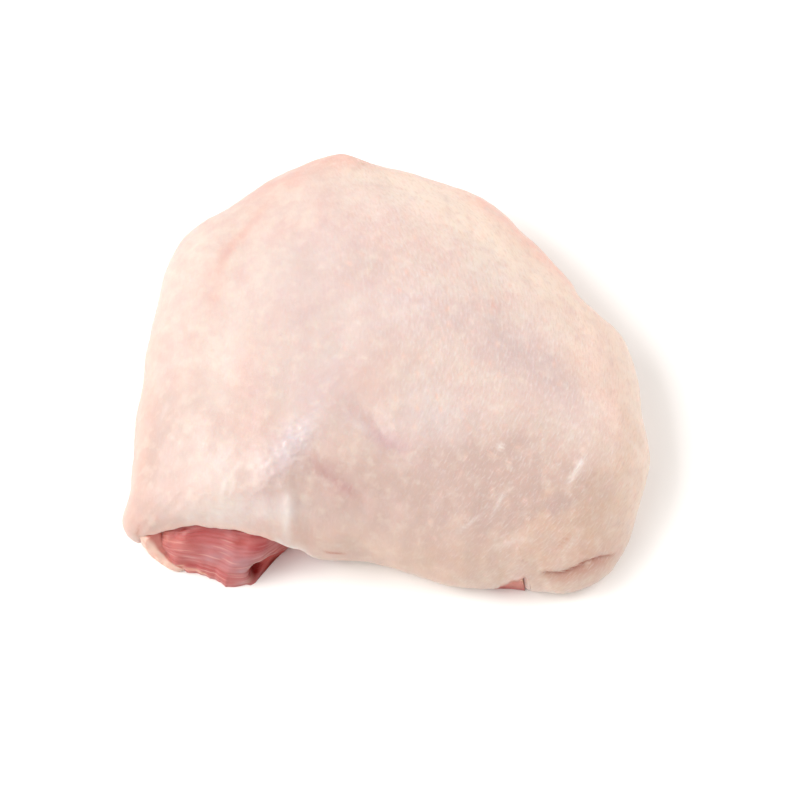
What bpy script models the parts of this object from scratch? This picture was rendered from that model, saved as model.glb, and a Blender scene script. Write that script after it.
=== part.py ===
"""A raw chicken thigh lying skin side up.

The thigh muscle lies on the table under its own skin. The skin is one sheet that covers the top and all
sides and turns under the thigh, but stops short at the front left, where the cut end of the muscle is bare,
and right of that end, where its cut edge hangs clear of the table. At the front right the sheet is folded
double. A pad of pale fat shows as a rim round the foot of the bare muscle end.

Sizes here are millimetres, and the solids are made in metres, +Z up. The origin is on the table, under the
middle of the thigh. -Y is the side of the bare muscle end, and -X is the side of its left corner.
"""

import math

import bmesh
import bpy
import numpy as np

METRES = 0.001

CROWN = 29.5  # the top of the thigh above the table
SKIN = 2.0  # the skin and the fat that comes off with it
GAP = 0.35  # between two pieces that touch
UNDERCUT = 6.5  # how far a side curls in between its widest line and the table
TUCK = 11.0  # the skin that lies flat under the thigh
SECTION_END = 17.5  # how far in under the thigh a section is drawn
FULLNESS = 2.5  # 2 is a round dome, more is a flatter top with steeper shoulders
# Corners of the edge are rounded off towards the crown, over this turn. The second value of each pair says
# how close to the edge the corner still shows: SOFTER works from low down, and SOFT right above the edge.
# The heights of the edge are rounded off as SOFT says.
SOFTER = (math.radians(16), 5.0)
SOFT = (math.radians(5), 16.0)
SOFT_END = math.radians(9)  # the rings feel a step in the end of the skin over this turn

SEGMENTS = 112  # lattice lines from the crown to the edge

# Where the skin ends: 0 is on the widest line, 1 is where it meets the table, and 2 is the end of the tuck.
# Below 0, each whole 1 stops the skin FREE_RUN short of the widest line.
TUCKED = 2.0
FREE_RUN = 10.0

# The widest line of the skin, anticlockwise from the right: x, y, its height above the table, where the
# skin ends, and how closely the lattice lines stand there.
EDGE = (
    (60.0, -25.0, 9.0, TUCKED, 1.0),
    (58.8, -14.5, 9.5, TUCKED, 1.0),
    (57.0, -1.0, 10.5, TUCKED, 1.0),
    (54.1, 6.1, 11.0, TUCKED, 1.0),
    (48.0, 10.7, 11.5, TUCKED, 1.3),
    (45.1, 13.9, 12.0, TUCKED, 1.3),
    (44.4, 17.5, 12.0, TUCKED, 1.2),
    (41.1, 22.2, 12.3, TUCKED, 1.0),
    (33.3, 31.4, 12.8, TUCKED, 1.0),
    (25.7, 40.6, 12.8, TUCKED, 1.0),
    (10.0, 48.3, 13.1, TUCKED, 1.0),
    (-4.1, 52.6, 13.3, TUCKED, 1.0),
    (-12.2, 55.9, 13.2, TUCKED, 1.0),
    (-27.0, 50.5, 12.6, TUCKED, 1.0),
    (-36.9, 42.1, 12.2, TUCKED, 1.0),
    (-50.7, 32.0, 11.2, TUCKED, 1.0),
    (-55.8, 13.6, 10.0, TUCKED, 1.0),
    (-58.0, -12.0, 10.0, TUCKED, 1.0),
    (-58.7, -33.0, 10.0, 1.7, 1.4),
    (-60.1, -40.5, 9.5, 1.2, 2.4),
    (-59.7, -42.8, 9.3, 0.9, 3.4),
    (-58.2, -44.3, 9.0, 0.5, 3.4),
    (-55.8, -44.8, 10.0, 0.0, 3.4),
    (-53.2, -45.0, 11.3, 0.0, 2.8),
    (-48.5, -44.9, 12.8, -0.05, 2.0),
    (-42.0, -44.5, 14.0, -0.1, 1.4),
    (-30.5, -46.3, 13.4, -0.1, 2.0),
    (-27.5, -46.9, 13.0, -0.1, 4.5),
    (-25.5, -47.4, 12.6, -0.05, 3.0),
    (-20.5, -48.5, 11.0, 0.0, 1.6),
    (-12.0, -49.3, 9.0, 0.7, 1.2),
    (-2.0, -50.0, 7.0, 0.95, 1.0),
    (14.0, -54.7, 5.0, 1.0, 1.0),
    (22.0, -55.3, 4.5, 0.9, 1.8),
    (25.2, -55.0, 4.5, -0.05, 2.4),
    (28.2, -55.0, 4.5, -0.36, 3.4),
    (31.0, -55.3, 4.4, -0.6, 3.4),
    (32.5, -55.6, 4.2, 1.1, 3.4),
    (35.5, -55.8, 4.0, 1.6, 2.0),
    (40.5, -55.8, 4.0, TUCKED, 1.4),
    (48.0, -52.8, 4.0, TUCKED, 1.2),
    (54.0, -44.5, 5.0, TUCKED, 1.0),
    (58.0, -33.0, 8.0, TUCKED, 1.0),
)

# The foot of the bare muscle end, from its left to its right, where it stands on the table or on the fat.
MUSCLE_FOOT = (
    (-53.3, -44.5),
    (-52.4, -45.5),
    (-50.7, -46.6),
    (-49.3, -48.0),
    (-47.4, -49.0),
    (-44.5, -49.9),
    (-42.0, -50.3),
    (-39.3, -51.4),
    (-38.1, -51.9),
    (-37.2, -53.2),
    (-35.9, -53.3),
    (-32.9, -52.8),
    (-31.1, -52.4),
    (-29.9, -51.6),
    (-28.9, -50.4),
    (-27.8, -48.9),
    (-26.5, -47.3),
    (-25.2, -45.9),
    (-23.9, -44.6),
    (-22.2, -43.3),
    (-20.2, -42.4),
    (-18.0, -41.9),
    (-15.8, -41.6),
    (-13.6, -41.4),
)
BARE_EASE = math.radians(2.4)  # the foot comes out to its left end over this much before it
SETBACK = 9.0  # elsewhere the muscle's foot keeps this far inside the hanging edge of the skin
NOTCH = (30.0, -55.2)  # the middle of the short gap in the skin where a slip of muscle shows
NOTCH_SETBACK = 1.6
NOTCH_TURN = 0.1  # the slip is at most this far from there, in radians

# The outer edge of the fat beside and under the bare end, from its left: x, y, and how high its underside and
# its top are curled up there.
FAT_EDGE = (
    (-55.3, -45.6, 6.6, 8.8),
    (-54.9, -46.1, 5.2, 8.8),
    (-54.0, -46.5, 3.6, 7.8),
    (-52.7, -47.2, 2.0, 5.6),
    (-50.9, -48.4, 0.8, 3.4),
    (-49.2, -49.5, 0.2, 2.2),
    (-47.7, -50.2, 0.0, 1.6),
)
FAT_THICK = 1.2  # the tongue under the muscle
FAT_ROUND = 0.6  # how far the outer edge rounds in to its top
FAT_RUN = 8.0  # how far it reaches in under the muscle

# Soft swells and dents: x, y, length, width, the direction of the length in degrees, and height.
# Each falls to a third of its height at SWELL_SPREAD of its length and width. They fade in above the widest
# line, over SWELL_RISE of the way up to the crown.
SWELL_SPREAD = 0.6
SWELL_RISE = 0.45
SWELLS = (
    (-21.7, -31.5, 24.0, 8.0, 48.0, 1.2),
    (-8.5, -31.5, 18.0, 6.0, -35.0, 0.8),
    (-1.3, -28.3, 13.0, 4.5, -46.0, -1.3),
    (-11.8, -37.2, 12.0, 4.5, -24.0, -1.3),
    (-22.0, -43.5, 9.0, 4.0, 84.0, 0.9),
    (-36.5, 12.0, 60.0, 8.0, 78.0, -0.9),
    (-48.0, -8.0, 60.0, 14.0, 86.0, 0.8),
    (16.0, 4.0, 62.0, 36.0, -28.0, 1.4),
    (-34.0, 26.0, 50.0, 30.0, -45.0, -1.6),
    (36.0, -8.0, 26.0, 12.0, -40.0, -1.2),
    (44.0, -30.0, 34.0, 12.0, 62.0, 0.8),
    (20.0, -36.0, 30.0, 12.0, 18.0, -0.7),
    (4.0, 40.0, 44.0, 7.0, -16.0, -0.8),
)

# The fold at the front right: the sheet turns back under its own edge along a crease.
FOLD_FROM = (31.8, -55.4)
FOLD_TO = (53.0, -43.0)
FOLD_CREASE = -8.0  # the crease's place along the section, before the widest line
FOLD_DEPTH = 1.5
FOLD_HALF_WIDTH = 1.6
FOLD_EASE = math.radians(3.2)  # it fades in and out over this turn at its ends
LIP_HEIGHT = 0.45  # the roll above the crease, as a share of the crease's depth
LIP_PLACE, LIP_WIDTH = 2.2, 1.4  # and its distance and width in half widths of the crease


def smoothstep(x, low=0.0, high=1.0):
    """0 below low, 1 above high, and a soft step between."""
    t = np.clip((np.asarray(x, float) - low) / (high - low), 0.0, 1.0)
    return t * t * (3 - 2 * t)


def closed_curve(points, at):
    """Places on the smooth closed curve through the points, at station numbers that need not be whole."""
    points = np.asarray(points, float)
    n = len(points)
    first = np.floor(at).astype(int)
    t = (at - first)[:, None]
    a, b, c, d = (points[(first + k) % n] for k in (-1, 0, 1, 2))
    return 0.5 * (2 * b + (c - a) * t + (2 * a - 5 * b + 4 * c - d) * t**2 + (3 * b - 3 * c + d - a) * t**3)


def stepped(values, at):
    """A value at each station, eased from station to station without overshoot."""
    values = np.asarray(values, float)
    first = np.floor(at).astype(int)
    t = smoothstep(at - first)
    return values[first % len(values)] * (1 - t) + values[(first + 1) % len(values)] * t


def polar(points):
    """The turn, from 0 to a full turn, and the distance from the middle of each place."""
    points = np.asarray(points, float)
    return np.arctan2(points[:, 1], points[:, 0]) % math.tau, np.hypot(points[:, 0], points[:, 1])


def softened(angle, values, turn):
    """Values given at these directions, each averaged with its neighbours over about this turn."""
    even = np.linspace(0, math.tau, 720, endpoint=False)
    level = np.interp(even, angle % math.tau, values, period=math.tau)
    apart = (even[:, None] - angle[None, :] + math.pi) % math.tau - math.pi
    weight = np.exp(-((apart / turn) ** 2))
    return (weight * level[:, None]).sum(axis=0) / weight.sum(axis=0)


def lattice_stations(count):
    """Station numbers for the lattice lines: evenly along the edge, and closer where EDGE says so."""
    at = np.linspace(0, len(EDGE), 4001)
    places = closed_curve([row[:2] for row in EDGE], at)
    step = np.linalg.norm(np.diff(places, axis=0), axis=1) * stepped([row[4] for row in EDGE], at[:-1])
    walked = np.concatenate([[0], np.cumsum(step)])
    return np.interp(np.arange(count) / count * walked[-1], walked, at)


def swell(x, y):
    """Height that the soft swells and dents add at a place."""
    total = np.zeros_like(x)
    for cx, cy, length, width, turn, height in SWELLS:
        c, s = math.cos(math.radians(turn)), math.sin(math.radians(turn))
        along, across = (x - cx) * c + (y - cy) * s, (y - cy) * c - (x - cx) * s
        along, across = along / (SWELL_SPREAD * length), across / (SWELL_SPREAD * width)
        total += height * np.exp(-(along**2) - across**2)
    return total


class Form:
    """The outer face of the whole thigh as a set of sections, each in the upright plane through the origin
    and one place on the widest line. A place on it is a lattice line and a run, measured along the section
    from the crown."""

    def __init__(self, stations):
        places = closed_curve([row[:2] for row in EDGE], stations)
        self.angle = np.arctan2(places[:, 1], places[:, 0])
        self.radius = np.hypot(places[:, 0], places[:, 1])
        self.height = stepped([row[2] for row in EDGE], stations)
        self.end = stepped([row[3] for row in EDGE], stations)
        softer, soft = (softened(self.angle, self.radius, turn) for turn, _ in (SOFTER, SOFT))
        level = softened(self.angle, self.height, SOFT[0])
        self.sections = [self.section(*row) for row in zip(self.radius, soft, softer, self.height, level)]
        self.widest = np.array([run[self.UPPER - 1] for _, _, run in self.sections])
        self.table = np.array([run[self.UPPER + self.LOWER - 2] for _, _, run in self.sections])

    UPPER, LOWER = 160, 40  # points on a section above the widest line, and from there to the table
    SMALL = 0.3  # the step along a section that its direction is read from
    LEAN = 0.55  # a depth isn't drawn out by more than 1 over this where the face turns from its section

    def section(self, radius, soft, softer, height, level):
        turn = np.linspace(0, math.pi / 2, self.UPPER)
        low, near = (np.sin(turn) ** hold for _, hold in (SOFTER, SOFT))
        reach = softer + (soft - softer) * low + (radius - soft) * near
        r = reach * np.sin(turn) ** (2 / FULLNESS)
        base = level + (height - level) * near
        z = base + (CROWN - base) * np.cos(turn)
        turn = np.linspace(0, math.pi / 2, self.LOWER)[1:]
        r = np.concatenate([r, radius - UNDERCUT * (1 - np.cos(turn)), [radius - UNDERCUT - SECTION_END]])
        z = np.concatenate([z, height * (1 - np.sin(turn)), [0.0]])
        run = np.concatenate([[0], np.cumsum(np.hypot(np.diff(r), np.diff(z)))])
        return r, z, run

    def skin_end(self):
        """The run at which the skin ends, for each section."""
        end = self.end
        above = self.widest + np.minimum(end, 0) * FREE_RUN
        side = np.clip(end, 0, 1) * (self.table - self.widest)
        return above + side + np.clip(end - 1, 0, 1) * TUCK

    def points(self, runs):
        """Places for runs given as rows, one column for each section."""
        out = np.empty(runs.shape + (3,))
        for j, (r, z, run) in enumerate(self.sections):
            at = np.interp(runs[:, j], run, r)
            high = np.interp(runs[:, j], run, z)
            x, y = at * math.cos(self.angle[j]), at * math.sin(self.angle[j])
            top = smoothstep(high, self.height[j], self.height[j] + SWELL_RISE * (CROWN - self.height[j]))
            top = np.where(runs[:, j] > self.widest[j], 0.0, top)
            out[:, j] = np.stack([x, y, high + swell(x, y) * top], axis=1)
        return out

    def levels(self, runs):
        """Runs as levels that mean the same on every section: 0 crown, 1 widest line, 2 table, and on."""
        side = 1 + (runs - self.widest) / (self.table - self.widest)
        return np.where(runs < self.widest, runs / self.widest, side)

    def runs_at(self, levels):
        """The runs at these levels, one column for each section."""
        side = self.widest + (levels - 1) * (self.table - self.widest)
        return np.where(levels < 1, levels * self.widest, side)

    def down(self, runs):
        """The way down along the section at the same places."""
        return self.points(runs + self.SMALL) - self.points(np.maximum(runs - self.SMALL, 0))

    def normals(self, runs):
        """Directions that point out of the thigh at the same places."""
        down = self.down(runs)
        levels = self.levels(runs)
        after = np.roll(self.points(self.runs_at(np.roll(levels, 1, axis=1))), -1, axis=1)
        before = np.roll(self.points(self.runs_at(np.roll(levels, -1, axis=1))), 1, axis=1)
        n = np.cross(down, after - before)
        return n / np.maximum(np.linalg.norm(n, axis=2, keepdims=True), 1e-9)

    def inside(self, runs, depth):
        """Places at this depth under the same places. Each stays in its section's own plane, so that lattice
        lines can't cross under a sharp corner."""
        down = self.down(runs)
        out = np.stack([np.cos(self.angle), np.sin(self.angle)], axis=1)[None]
        along = (down[..., :2] * out).sum(axis=2, keepdims=True)
        n = np.concatenate([-down[..., 2:] * out, along], axis=2)
        n /= np.maximum(np.linalg.norm(n, axis=2, keepdims=True), 1e-9)
        lean = (n * self.normals(runs)).sum(axis=2, keepdims=True)
        return self.points(runs) - n * depth / np.maximum(lean, self.LEAN)


def ring_runs(form, fractions, end):
    """Runs from the crown to the end. Near the crown each ring keeps its run from section to section, also
    where the ends of neighbouring sections are far apart."""
    share = np.asarray(fractions)[:, None]
    soft = softened(form.angle, end, SOFT_END)
    return share * (soft + (end - soft) * share**3)


def fold_relief(form, runs):
    """How far the face of the fold stands out of the plain form, or in at its crease."""
    start, stop = (math.atan2(y, x) % math.tau for x, y in (FOLD_FROM, FOLD_TO))
    angle = form.angle % math.tau
    share = smoothstep(angle, start, start + FOLD_EASE) * (1 - smoothstep(angle, stop - FOLD_EASE, stop))
    place = runs - (form.widest + FOLD_CREASE)[None, :]
    crease = -FOLD_DEPTH * np.exp(-((place / FOLD_HALF_WIDTH) ** 2))
    before = (place / FOLD_HALF_WIDTH + LIP_PLACE) / LIP_WIDTH
    lip = LIP_HEIGHT * FOLD_DEPTH * np.exp(-(before**2))
    return (crease + lip) * share[None, :]


def strip(faces, first, second, count):
    """Quads between two rings of corners that start at these numbers."""
    for j in range(count):
        k = (j + 1) % count
        faces.append((first + j, second + j, second + k, first + k))


def fan(faces, centre, ring, count, up):
    """Triangles that close a ring at its centre."""
    for j in range(count):
        k = (j + 1) % count
        faces.append((centre, ring + j, ring + k) if up else (centre, ring + k, ring + j))


def closed_rings(top, rings, bottom):
    """Corners and faces of a solid whose rings run from a point at the top round to a point at the bottom."""
    count = len(rings[0])
    corners = np.concatenate([[top], *rings, [bottom]])
    faces = []
    fan(faces, 0, 1, count, True)
    for n in range(len(rings) - 1):
        strip(faces, 1 + n * count, 1 + (n + 1) * count, count)
    fan(faces, len(corners) - 1, 1 + (len(rings) - 1) * count, count, False)
    return corners, faces


def material(name, colour, roughness):
    made = bpy.data.materials.new(name)
    made.use_nodes = True
    shader = made.node_tree.nodes["Principled BSDF"]
    shader.inputs["Base Color"].default_value = (*colour, 1.0)
    shader.inputs["Roughness"].default_value = roughness
    shader.inputs["Metallic"].default_value = 0.0
    return made


def solid(name, corners, faces, finish):
    """One named object from corners in millimetres."""
    mesh = bpy.data.meshes.new(name)
    mesh.from_pydata((np.asarray(corners) * METRES).tolist(), [], faces)
    tidy = bmesh.new()
    tidy.from_mesh(mesh)
    bmesh.ops.recalc_face_normals(tidy, faces=tidy.faces)
    bmesh.ops.triangulate(tidy, faces=tidy.faces, quad_method="SHORT_EDGE")
    tidy.to_mesh(mesh)
    tidy.free()
    mesh.materials.append(finish)
    mesh.shade_smooth()
    mesh.set_sharp_from_angle(angle=math.radians(50))
    made = bpy.data.objects.new(name, mesh)
    bpy.context.scene.collection.objects.link(made)
    return made


OUTER_RINGS = (
    *(0.11, 0.22, 0.32, 0.41, 0.49, 0.56, 0.61, 0.64, 0.67, 0.70, 0.73),
    *(0.76, 0.80, 0.84, 0.88, 0.92, 0.96, 1.0),
)
INNER_RINGS = (0.11, 0.22, 0.41, 0.56, 0.67, 0.76, 0.84, 0.92, 1.0)
HEM_ROUND = 0.7  # how far the rounded edge of the skin stands out of its end
HEM_CLEAR = 1.3  # from the end of the skin to where the muscle turns
FOOT_FLAT = 2.5  # how far in from its foot the muscle lies flat on the table
TUCK_STEP, TUCK_FLAT = 1.0, 3.0  # under the tuck, how far in the muscle clears it, and lies flat
FACE_STEPS = (0.25, 0.5, 0.75, 1.0)  # rings of the bare face, as shares of the way from hem to foot
FACE_OUT = 0.55  # the face leaves the hem outwards for this share of its depth,
FACE_DROP = 0.12  # falling by this share of its height,
FACE_STAND = 0.4  # and comes upright to its foot over this share


def make_skin(form, finish):
    """The sheet of skin: an outer face, an inner face one skin deeper, and a rounded edge between them."""
    end = form.skin_end()
    runs = ring_runs(form, OUTER_RINGS, end)
    outer = form.points(runs) + form.normals(runs) * fold_relief(form, runs)[..., None]
    runs = ring_runs(form, INNER_RINGS, end)
    inner = form.inside(runs, SKIN)
    edge = form.inside(end[None] + HEM_ROUND, SKIN / 2)
    rings = [*outer, *edge, *inner[::-1]]
    crown = np.array([0, 0, CROWN + float(swell(np.zeros(1), np.zeros(1))[0])])
    corners, faces = closed_rings(crown, rings, crown - (0, 0, SKIN))
    return solid("skin", corners, faces, finish)


def foot_radius(form):
    """How far out the muscle's foot stands in each section, and in which sections it is bare."""
    angle = form.angle % math.tau
    turn, far = polar(MUSCLE_FOOT)
    bare = (angle >= turn[0]) & (angle <= turn[-1])
    inside = form.radius - SETBACK
    left = smoothstep(angle, turn[0] - BARE_EASE, turn[0]) * (angle < turn[0])
    inside = inside * (1 - left) + far[0] * left
    notch = math.atan2(NOTCH[1], NOTCH[0]) % math.tau
    gap = (np.abs(angle - notch) < NOTCH_TURN) * (1 - smoothstep(form.end, 0.25, 0.4))
    inside = inside + (SETBACK - NOTCH_SETBACK) * gap
    return np.where(bare, np.interp(angle, turn, far), inside), bare


def fat_lines(form):
    """For each lattice line: whether it crosses the fat, and there the fat's outer edge, the heights of the
    edge's underside and top, its hidden inner edge and its thickness."""
    angle = form.angle % math.tau
    turn, far = polar([row[:2] for row in FAT_EDGE])
    on = (angle >= turn[0]) & (angle <= turn[-1])
    edge, lift, top = (np.interp(angle, turn, values) for values in (far, *list(zip(*FAT_EDGE))[2:]))
    along = (angle - turn[0]) / (turn[-1] - turn[0])
    taper = np.sqrt(np.clip(1 - (2 * along - 1) ** 6, 0.0, 1.0))
    return on, edge, lift, top, edge - FAT_RUN, FAT_THICK * (0.5 + 0.5 * taper)


def bezier(a, b, c, d, t):
    return a * (1 - t) ** 3 + 3 * b * t * (1 - t) ** 2 + 3 * c * t**2 * (1 - t) + d * t**3


def ring_at(form, r, z):
    """A ring of corners, one on each section, at these distances and heights."""
    return np.column_stack([r * np.cos(form.angle), r * np.sin(form.angle), z * np.ones(len(form.angle))])


def make_muscle(form, finish):
    """The muscle: under the skin it keeps the form one skin and a gap deeper, then it turns out to the foot
    of the bare end, or in under the thigh, and lies flat on the table."""
    end = form.skin_end()
    deep = SKIN + GAP
    runs = np.concatenate([ring_runs(form, INNER_RINGS, end), [end + HEM_CLEAR]])
    rings = [*form.inside(runs, deep)]
    from_r, from_z = np.hypot(rings[-1][:, 0], rings[-1][:, 1]), rings[-1][:, 2]
    foot_r, bare = foot_radius(form)
    on_fat, _, _, _, fat_inner, thick = fat_lines(form)
    tucked = (form.end > 1.0) & ~bare
    landing = np.where(tucked, from_r - TUCK_FLAT, foot_r - FOOT_FLAT)
    foot_r = np.where(tucked, from_r - TUCK_STEP, foot_r)
    foot_z = np.where(tucked, from_z, np.where(on_fat, thick + GAP, 0.0))
    for t in FACE_STEPS:
        out, fall = foot_r - from_r, from_z - foot_z
        r = bezier(from_r, from_r + FACE_OUT * out, foot_r, foot_r, t)
        z = bezier(from_z, from_z - FACE_DROP * fall, foot_z + FACE_STAND * fall, foot_z, t)
        rings.append(ring_at(form, r, z))
    over_r = np.where(on_fat, fat_inner - 2 * GAP, 0.5 * (landing + foot_r))
    landing = np.where(on_fat, fat_inner - FOOT_FLAT, landing)
    rings.append(ring_at(form, over_r, np.where(on_fat, thick + GAP, 0.9 * foot_z)))
    rings.append(ring_at(form, landing, 0.0))
    rings.append(ring_at(form, 0.5 * landing, 0.0))
    crown = np.array([0, 0, CROWN - deep + float(swell(np.zeros(1), np.zeros(1))[0])])
    corners, faces = closed_rings(crown, rings, np.zeros(3))
    return solid("muscle", corners, faces, finish)


def make_fat(form, finish):
    """The pad of fat: a thin tongue on the table under the muscle's foot, whose outer edge shows and curls up
    at the left, as far as the corner of the skin."""
    on, edge, lift, top, inner, thick = fat_lines(form)
    foot, _ = foot_radius(form)
    lines = np.flatnonzero(on)
    lines = lines[np.argsort(form.angle[lines] % math.tau)]
    edge, lift, top, inner, thick, foot = (values[lines] for values in (edge, lift, top, inner, thick, foot))
    beside = foot + 1.4 * GAP
    lip = np.maximum(beside + 0.15, edge - FAT_ROUND)
    # The corners of the pad's section, from its hidden inner edge along its underside and round.
    section = (
        (inner, 0 * lift),
        (edge - 0.8 - 0.12 * lift, 0 * lift),
        (edge - 0.3, 0.5 * lift + 0.1),
        (edge, 0.65 * lift + 0.35 * top),
        (lip, top),
        (beside, top - 0.1),
        (beside, thick),
        (inner, 0.8 * thick),
    )
    angle = form.angle[lines]
    corners = np.concatenate([np.column_stack([r * np.cos(angle), r * np.sin(angle), z]) for r, z in section])
    rows, count = len(section), len(lines)
    faces = []
    for i in range(rows):
        k = (i + 1) % rows
        for j in range(count - 1):
            faces.append((i * count + j, k * count + j, k * count + j + 1, i * count + j + 1))
    faces.append(tuple(i * count for i in range(rows)))
    faces.append(tuple(i * count + count - 1 for i in reversed(range(rows))))
    return solid("fat", corners, faces, finish)


def main():
    for old in list(bpy.data.objects):
        bpy.data.objects.remove(old)
    form = Form(lattice_stations(SEGMENTS))
    make_skin(form, material("skin", (0.86, 0.66, 0.56), 0.42))
    make_muscle(form, material("muscle", (0.56, 0.16, 0.15), 0.38))
    make_fat(form, material("fat", (0.84, 0.62, 0.52), 0.4))


main()
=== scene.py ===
"""A raw chicken thigh, skin side up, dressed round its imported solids.

The sections follow the piece from the outside in: the skin, the muscle that shows at the front left, and the
rim of fat under it. The table, the light and the camera come last. Sizes are in millimetres, as in the part's
source, and the meshes are made in metres.
"""

import math

import bpy
import numpy as np
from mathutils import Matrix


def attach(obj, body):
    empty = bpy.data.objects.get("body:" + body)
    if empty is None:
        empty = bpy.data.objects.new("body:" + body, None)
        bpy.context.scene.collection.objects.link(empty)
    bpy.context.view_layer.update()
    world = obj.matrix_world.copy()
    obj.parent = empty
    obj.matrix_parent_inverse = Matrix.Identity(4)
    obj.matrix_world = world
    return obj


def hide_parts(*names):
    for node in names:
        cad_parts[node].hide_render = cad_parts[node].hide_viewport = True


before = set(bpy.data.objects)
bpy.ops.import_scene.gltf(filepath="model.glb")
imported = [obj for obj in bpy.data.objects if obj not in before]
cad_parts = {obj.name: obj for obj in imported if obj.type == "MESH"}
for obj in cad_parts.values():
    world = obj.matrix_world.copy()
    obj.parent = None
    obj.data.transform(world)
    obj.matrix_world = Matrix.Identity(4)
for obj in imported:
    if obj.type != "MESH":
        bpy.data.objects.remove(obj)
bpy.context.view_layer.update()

# The skin.
# One sheet of raw chicken skin with the thin fat that comes off with it. It was cut with the thigh, pulled
# over the muscle by hand and tucked under. It is made as a fine lattice from the crown down to the cut edge,
# and Geometry Nodes press the pits into it where the feathers were plucked.
MM = 0.001
CROWN = 29.5
SKIN = 2.0  # how thick the sheet is
UNDERCUT = 6.5  # how far in the side comes from its widest line down to the table
SECTION_END = 17.5  # how far each section runs in along the table
FULLNESS = 2.5  # 2 makes a section an ellipse, and more makes it fuller
# The turns over which corners of the widest line are softened further up, and the powers that say how soon.
SOFTER, SOFT = (math.radians(16), 5.0), (math.radians(5), 16.0)
SOFT_END = math.radians(9)

# The widest line, anticlockwise from the right: x, y, height, where the skin ends, and how close the lattice
# is. The skin ends FREE_RUN above the line at -1, on it at 0, at the table at 1, and TUCK under it at 2.
FREE_RUN, TUCK = 10.0, 11.0
EDGE = (
    (60, -25, 9, 2, 1), (58.8, -14.5, 9.5, 2, 1), (57, -1, 10.5, 2, 1), (54.1, 6.1, 11, 2, 1),
    (48, 10.7, 11.5, 2, 1.3), (45.1, 13.9, 12, 2, 1.3), (44.4, 17.5, 12, 2, 1.2), (41.1, 22.2, 12.3, 2, 1),
    (33.3, 31.4, 12.8, 2, 1), (25.7, 40.6, 12.8, 2, 1), (10, 48.3, 13.1, 2, 1), (-4.1, 52.6, 13.3, 2, 1),
    (-12.2, 55.9, 13.2, 2, 1), (-27, 50.5, 12.6, 2, 1), (-36.9, 42.1, 12.2, 2, 1), (-50.7, 32, 11.2, 2, 1),
    (-55.8, 13.6, 10, 2, 1), (-58, -12, 10, 2, 1), (-58.7, -33, 10, 1.7, 1.4), (-60.1, -40.5, 9.5, 1.2, 2.4),
    (-59.7, -42.8, 9.3, 0.9, 3.4), (-58.2, -44.3, 9, 0.5, 3.4), (-55.8, -44.8, 10, 0, 3.4),
    (-53.2, -45, 11.3, 0, 2.8), (-48.5, -44.9, 12.8, -0.05, 2), (-42, -44.5, 14, -0.1, 1.4),
    (-30.5, -46.3, 13.4, -0.1, 2), (-27.5, -46.9, 13, -0.1, 4.5), (-25.5, -47.4, 12.6, -0.05, 3),
    (-20.5, -48.5, 11, 0, 1.6), (-12, -49.3, 9, 0.7, 1.2), (-2, -50, 7, 0.95, 1), (14, -54.7, 5, 1, 1),
    (22, -55.3, 4.5, 0.9, 1.8), (25.2, -55, 4.5, -0.05, 2.4), (28.2, -55, 4.5, -0.36, 3.4),
    (31, -55.3, 4.4, -0.6, 3.4), (32.5, -55.6, 4.2, 1.1, 3.4), (35.5, -55.8, 4, 1.6, 2),
    (40.5, -55.8, 4, 2, 1.4), (48, -52.8, 4, 2, 1.2), (54, -44.5, 5, 2, 1), (58, -33, 8, 2, 1),
)

# Soft swells and dents: x, y, length, width, the direction of the length in degrees, and height.
SWELLS = (
    (-21.7, -31.5, 24, 8, 48, 1.2), (-8.5, -31.5, 18, 6, -35, 0.8), (-1.3, -28.3, 13, 4.5, -46, -1.3),
    (-11.8, -37.2, 12, 4.5, -24, -1.3), (-22, -43.5, 9, 4, 84, 0.9), (-36.5, 12, 60, 8, 78, -0.9),
    (-48, -8, 60, 14, 86, 0.8), (16, 4, 62, 36, -28, 1.4), (-34, 26, 50, 30, -45, -1.6),
    (36, -8, 26, 12, -40, -1.2), (44, -30, 34, 12, 62, 0.8), (20, -36, 30, 12, 18, -0.7),
    (4, 40, 44, 7, -16, -0.8),
)


def smoothstep(x, low=0.0, high=1.0):
    """0 below low, 1 above high, and a soft step between."""
    t = np.clip((np.asarray(x, float) - low) / (high - low), 0.0, 1.0)
    return t * t * (3 - 2 * t)


def bell(distance, width):
    """1 at no distance, and softly less over this width."""
    return np.exp(-((distance / width) ** 2))


def smooth_loop(points, at):
    """Places on the smooth closed curve through the points, at station numbers that need not be whole."""
    points = np.asarray(points, float)
    n = len(points)
    first = np.floor(at).astype(int)
    t = (at - first)[:, None]
    a, b, c, d = (points[(first + k) % n] for k in (-1, 0, 1, 2))
    return 0.5 * (2 * b + (c - a) * t + (2 * a - 5 * b + 4 * c - d) * t**2 + (3 * b - 3 * c + d - a) * t**3)


def eased(values, at):
    """A value at each station, eased from station to station without overshoot."""
    values = np.asarray(values, float)
    first = np.floor(at).astype(int)
    t = smoothstep(at - first)
    return values[first % len(values)] * (1 - t) + values[(first + 1) % len(values)] * t


EDGE_LINE = [row[:2] for row in EDGE]
EDGE_HEIGHT, EDGE_END, EDGE_CLOSENESS = list(zip(*EDGE))[2:]


def lattice_stations(count, closeness):
    """Station numbers for the lattice lines, spread round the edge as closely as closeness says for a station
    and its direction in degrees."""
    at = np.linspace(0, len(EDGE), 4001)
    places = smooth_loop(EDGE_LINE, at)
    way = np.degrees(np.arctan2(places[:-1, 1], places[:-1, 0])) % 360
    step = np.linalg.norm(np.diff(places, axis=0), axis=1) * closeness(at[:-1], way)
    walked = np.concatenate([[0], np.cumsum(step)])
    return np.interp(np.arange(count) / count * walked[-1], walked, at)


OVAL_REACH = 0.6  # an oval is down to a third of its height at this share of its length from its middle


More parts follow.
